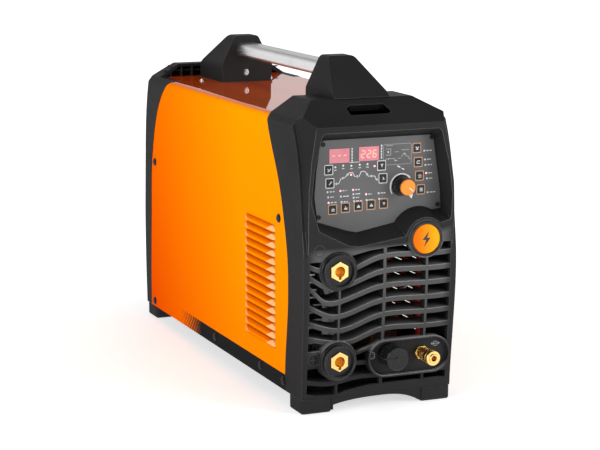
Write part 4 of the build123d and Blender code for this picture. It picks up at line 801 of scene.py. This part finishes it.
# small process diagram in a box at the upper right
diagram = Solid()
BOX_U, BOX_V, BOX_W, BOX_H = 31.0, 311.6, 38.0, 25.6
box_outer = rectangle(BOX_U, BOX_V, BOX_W, BOX_H, 1.5)
box_inner = rectangle(BOX_U, BOX_V, BOX_W - 1.0, BOX_H - 1.0, 1.2)
diagram.loop_prism(box_outer, box_inner, on_panel, PRINT)
DIAGRAM = [
    [(15.5, 322.5), (24.5, 322.5)], [(15.5, 318.5), (22.0, 318.5), (22.0, 311.0), (15.5, 311.0)],
    [(15.5, 303.0), (15.5, 306.5), (27.0, 306.5), (27.0, 303.5), (31.5, 303.5)],
    [(31.5, 306.5), (36.0, 306.5)],
    [(36.5, 308.0), (39.5, 312.5), (43.5, 308.5), (45.5, 308.5), (47.5, 304.5), (49.0, 304.5)],
    [(36.0, 316.5), (46.5, 316.5)], [(27.5, 314.5), (32.5, 314.5)],
]
for line in DIAGRAM:
    diagram.stroke(line, 0.7, on_panel, PRINT)
diagram.place("process_diagram", INK_GREY, CASE)
for u, v in ((19.5, 306.5), (29.0, 303.8), (41.0, 311.4), (18.5, 314.8)):
    diamond(u, v, 1.2)
legends.place("panel_print", INK_WHITE, CASE)
lamps_on.place("lamps_lit", LED_ON, CASE)
lamps_off.place("lamps_unlit", LED_OFF, CASE)

# ------------------------------------------------------------------ knob scale and pointer
knob_u, knob_v = centre("knob_body")
scale = Solid()
ARC_U, ARC_V, ARC_OUTER = 36.9, 271.8, 16.0
ARC_STEPS = 44
ARC_START, ARC_END = math.radians(216.0), math.radians(40.0)


def arc_point(share, inward):
    """A point on the scale's arc; inward 1 is the inner edge, which is widest at the top."""
    angle = ARC_START + (ARC_END - ARC_START) * share
    radius = ARC_OUTER - inward * (1.0 + 2.3 * math.sin(math.pi * min(1.0, share * 0.72)))
    return ARC_U + radius * math.cos(angle), ARC_V + radius * math.sin(angle)


for i in range(ARC_STEPS):
    near, far = i / ARC_STEPS, (i + 1) / ARC_STEPS
    corners = [arc_point(near, 0), arc_point(far, 0), arc_point(far, 1), arc_point(near, 1)]
    scale.prism(corners, on_panel, PRINT)
SCALE_TIP = [(9.6, -12.6), (16.2, -12.0), (14.2, -17.6)]
scale.prism([(knob_u + a, knob_v + b) for a, b in SCALE_TIP], on_panel, PRINT)
scale.stroke([(knob_u - 5.5, knob_v + 24.0), (knob_u - 1.5, knob_v + 22.2)], 1.4, on_panel, PRINT)
scale.stroke([(knob_u + 0.5, knob_v + 21.0), (knob_u + 4.0, knob_v + 19.0)], 1.2, on_panel, PRINT)
scale.place("knob_scale", INK_WHITE, CASE)

pointer = Solid()
pointer.stroke([(knob_u + 1.2, knob_v - 0.8), (knob_u + 7.0, knob_v - 4.9)], 0.95, face_of("knob_cap"), PRINT)
pointer.place("knob_pointer", INK_WHITE, "knob")

# ------------------------------------------------------------------ display digits
SEGMENTS = {"2": "abged", "6": "afgedc", "-": "g"}
DIGIT_W, DIGIT_H, DIGIT_SLANT = 4.4, 8.4, 0.10
DIGIT_LINE, DIGIT_PROUD = 1.15, 0.05
SEGMENT_GAP = 0.45          # from a corner of the figure to a segment's end


def digit(solid, character, u, v, plane):
    """Seven-segment character centred on u, v."""
    w, h = DIGIT_W / 2, DIGIT_H / 2
    places = {
        "a": [(-w, h), (w, h)], "g": [(-w, 0), (w, 0)], "d": [(-w, -h), (w, -h)], "f": [(-w, h), (-w, 0)],
        "b": [(w, h), (w, 0)], "e": [(-w, 0), (-w, -h)], "c": [(w, 0), (w, -h)],
    }
    for segment in SEGMENTS[character]:
        (a, b), (c, d) = places[segment]
        near = Vector((u + a + DIGIT_SLANT * b, v + b))
        far = Vector((u + c + DIGIT_SLANT * d, v + d))
        gap = (far - near).normalized() * SEGMENT_GAP
        solid.stroke([tuple(near + gap), tuple(far - gap)], DIGIT_LINE, plane, DIGIT_PROUD)


lens_low, lens_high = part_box("display_lenses")
LENS_HALF, DIGIT_STEP = 13.15, 7.6
lens_v = centre("display_lenses")[1]
digits = Solid()
for lens_u, shown in ((lens_low.x / MM + LENS_HALF, "---"), (lens_high.x / MM - LENS_HALF, "226")):
    for place, character in enumerate(shown):
        digit(digits, character, lens_u + DIGIT_STEP * (place - 1), lens_v, face_of("display_lenses"))
digits.place("display_digits", DIGIT_GLOW, CASE)

# ------------------------------------------------------------------ polarity signs, connector signs and badge
bezel_mesh = NODES["front_bezel"].data
bezel_tree = BVHTree.FromPolygons(
    [vertex.co for vertex in bezel_mesh.vertices], [list(face.vertices) for face in bezel_mesh.polygons],
)


SUNK = 0.35                  # how far a raised mark reaches into the moulding


def on_bezel(u, v, w):
    """Places a sketch point on the front moulding's own surface; w raises it towards -Y."""
    ahead_of_all = Vector((u * MM, -0.6, v * MM))
    hit = bezel_tree.ray_cast(ahead_of_all, Vector((0.0, 1.0, 0.0)))[0]
    return Vector((u * MM, hit.y + (SUNK - w) * MM, v * MM))


marks = Solid()
MINUS, PLUS = (-82.0, 203.8), (-86.5, 68.0)
MARK_R, MARK_ARM = 7.4, 4.2
RING_LINE, ARM_LINE, MARK_DEPTH = 0.7, 0.9, 2 * SUNK
for (u, v), arms in ((MINUS, ((1, 0),)), (PLUS, ((1, 0), (0, 1)))):
    marks.ring(u, v, MARK_R, MARK_R - RING_LINE, on_bezel, MARK_DEPTH)
    for a, b in arms:
        line = [(u - MARK_ARM * a, v - MARK_ARM * b), (u, v), (u + MARK_ARM * a, v + MARK_ARM * b)]
        marks.stroke(line, ARM_LINE, on_bezel, MARK_DEPTH)
marks.place("polarity_signs", MARK_GREY, CASE)

# signs on the connector recess's floor: a control socket with four pins, and a gas outlet with a double arrow
RECESS_FLOOR_Y = -306.5
on_plate = front_plane(RECESS_FLOOR_Y * MM)
plate_signs = Solid()
SOCKET_SIGN, GAS_SIGN = (-8.0, 66.0), (78.5, 73.5)
sign_outer, sign_inner = rectangle(*SOCKET_SIGN, 7.6, 8.4, 1.6), rectangle(*SOCKET_SIGN, 6.4, 7.2, 1.2)
plate_signs.loop_prism(sign_outer, sign_inner, on_plate, PRINT)
for pin_u, pin_v in ((-1.5, 1.7), (1.5, 1.7), (-1.5, -1.7), (1.5, -1.7)):
    plate_signs.disc(SOCKET_SIGN[0] + pin_u, SOCKET_SIGN[1] + pin_v, 0.6, on_plate, PRINT, 12)
plate_signs.ring(*GAS_SIGN, 3.2, 2.6, on_plate, PRINT)
plate_signs.stroke([(GAS_SIGN[0] - 5.6, GAS_SIGN[1]), (GAS_SIGN[0] + 5.6, GAS_SIGN[1])], 0.6, on_plate, PRINT)
for way in (-1, 1):
    tip = (GAS_SIGN[0] + 5.8 * way, GAS_SIGN[1])
    barb = tip[0] - 1.8 * way
    plate_signs.stroke([(barb, tip[1] + 1.5), tip, (barb, tip[1] - 1.5)], 0.6, on_plate, PRINT)
plate_signs.place("connector_signs", INK_GREY, CASE)

# plain bolt on the badge
badge_u, badge_v = centre("badge_disc")
HALF_BOLT = [(3.2, 9.6), (-5.4, -1.2), (-0.6, -1.2)]
BOLT = HALF_BOLT + [(-a, -b) for a, b in HALF_BOLT]
bolt = Solid()
bolt.prism([(badge_u + a, badge_v + b) for a, b in BOLT], face_of("badge_disc"), 0.25)
bolt.place("badge_bolt", INK_DARK, CASE)

# ------------------------------------------------------------------ lanyard of the control socket's cap
rivet_u, rivet_v = centre("cap_swivel")
rivet = Vector((rivet_u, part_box("cap_swivel")[0].y / MM, rivet_v))
# from the rivet across the cap's face, then back beside the cap to the moulding
LANYARD = [
    (-2.2, 0.9, 0.0), (-7.0, 0.5, 0.5), (-13.0, 0.4, 1.0), (-17.4, 4.0, 1.4),
    (-18.0, 11.0, 1.6), (-17.0, 19.0, 1.8), (-15.4, 25.0, 2.0), (-13.2, 27.0, 2.0),
]
lanyard = cord("cap_lanyard", [rivet + Vector(step) for step in LANYARD], 0.75, WIRE_BLACK, None, 14)
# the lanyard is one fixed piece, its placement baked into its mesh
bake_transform(lanyard)

# ------------------------------------------------------------------ wiring seen through the grille
WIRES = {
    "wire_red": (3.0, WIRE_RED, [
        (65, -262, 52), (67, -279, 80), (67, -280, 120), (67, -280, 165), (66, -279, 205), (60, -262, 228),
    ]),
    "wire_white": (1.5, WIRE_WHITE, [
        (71, -262, 56), (73, -280, 84), (72.6, -281, 120), (73, -281, 160), (73, -280, 205),
        (69, -262, 228),
    ]),
    "wire_thin": (1.1, WIRE_WHITE, [
        (16, -262, 100), (15, -280, 122), (15, -281, 140), (15.6, -281, 160), (16, -280, 190),
        (18, -262, 215),
    ]),
    "wire_cross": (1.3, WIRE_WHITE, [
        (-8, -268, 128), (-5, -280, 133), (20, -281, 137), (36, -281, 139), (49, -280, 142),
        (62, -270, 150),
    ]),
    "wire_black": (4.6, WIRE_BLACK, [
        (-57, -268, 168), (-56, -258, 140), (-40, -255, 120), (-10, -252, 110),
    ]),
}
for name, (radius, material, points) in WIRES.items():
    cord(name, points, radius, material, CASE)

# ------------------------------------------------------------------ stage
floor_mesh = bmesh.new()
bmesh.ops.create_grid(floor_mesh, x_segments=2, y_segments=2, size=14.0)
floor_data = bpy.data.meshes.new("floor")
floor_mesh.to_mesh(floor_data)
floor_mesh.free()
floor = bpy.data.objects.new("floor", floor_data)
floor.data.materials.append(floor_material())
floor.location.z = -0.0005
bpy.context.scene.collection.objects.link(floor)


def softbox(name, place, target, size, power):
    """A white rectangular area light, unseen by the camera."""
    lamp = bpy.data.lights.new(name, "AREA")
    lamp.shape = "RECTANGLE"
    lamp.size, lamp.size_y = size
    lamp.energy = power
    holder = bpy.data.objects.new(name, lamp)
    holder.location = place
    way = Vector(target) - Vector(place)
    holder.rotation_mode = "QUATERNION"
    holder.rotation_quaternion = way.to_track_quat("-Z", "Y")
    bpy.context.scene.collection.objects.link(holder)
    holder.visible_camera = False


softbox("key_left", (-2.3, -0.9, 0.95), (0.0, 0.0, 0.2), (1.5, 1.3), 25.0)
softbox("front_right", (1.6, -2.2, 1.0), (0.0, -0.3, 0.2), (0.8, 1.4), 24.0)
softbox("overhead", (0.1, -0.3, 2.2), (0.0, 0.0, 0.35), (1.2, 1.2), 6.0)

scene = bpy.context.scene
scene.view_settings.view_transform = "Standard"
scene.view_settings.look = "None"

# bright at the horizon like a white cyclorama, dim overhead; plain white to the camera
world = bpy.data.worlds.new("studio")
scene.world = world
world.use_nodes = True
tree = world.node_tree
tree.nodes.clear()
sky = tree.nodes.new("ShaderNodeBackground")
backdrop = tree.nodes.new("ShaderNodeBackground")
for background in (sky, backdrop):
    background.inputs["Color"].default_value = (1.0, 1.0, 1.0, 1.0)
backdrop.inputs["Strength"].default_value = 1.0
direction = tree.nodes.new("ShaderNodeTexCoord")
direction_axes = tree.nodes.new("ShaderNodeSeparateXYZ")
height = tree.nodes.new("ShaderNodeMapRange")
height.interpolation_type = "SMOOTHSTEP"
for socket, value in {"From Min": 0.25, "From Max": 0.6, "To Min": 0.80, "To Max": 0.10}.items():
    height.inputs[socket].default_value = value
light_path = tree.nodes.new("ShaderNodeLightPath")
either = tree.nodes.new("ShaderNodeMixShader")
surface = tree.nodes.new("ShaderNodeOutputWorld")
tree.links.new(direction.outputs["Generated"], direction_axes.inputs[0])
tree.links.new(direction_axes.outputs[2], height.inputs["Value"])
tree.links.new(height.outputs[0], sky.inputs["Strength"])
tree.links.new(light_path.outputs["Is Camera Ray"], either.inputs[0])
tree.links.new(sky.outputs[0], either.inputs[1])
tree.links.new(backdrop.outputs[0], either.inputs[2])
tree.links.new(either.outputs[0], surface.inputs[0])

camera_data = bpy.data.cameras.new("camera")
camera_data.lens = CAMERA_LENS
camera_data.sensor_width = CAMERA_SENSOR
camera = bpy.data.objects.new("camera", camera_data)
turn, fall = math.radians(CAMERA_AZIMUTH), math.radians(CAMERA_FALL)
sight = Vector((math.sin(turn) * math.cos(fall), math.cos(turn) * math.cos(fall), -math.sin(fall)))
camera.location = CAMERA_PLACE
camera.rotation_mode = "QUATERNION"
camera.rotation_quaternion = sight.to_track_quat("-Z", "Y")
scene.collection.objects.link(camera)
scene.camera = camera
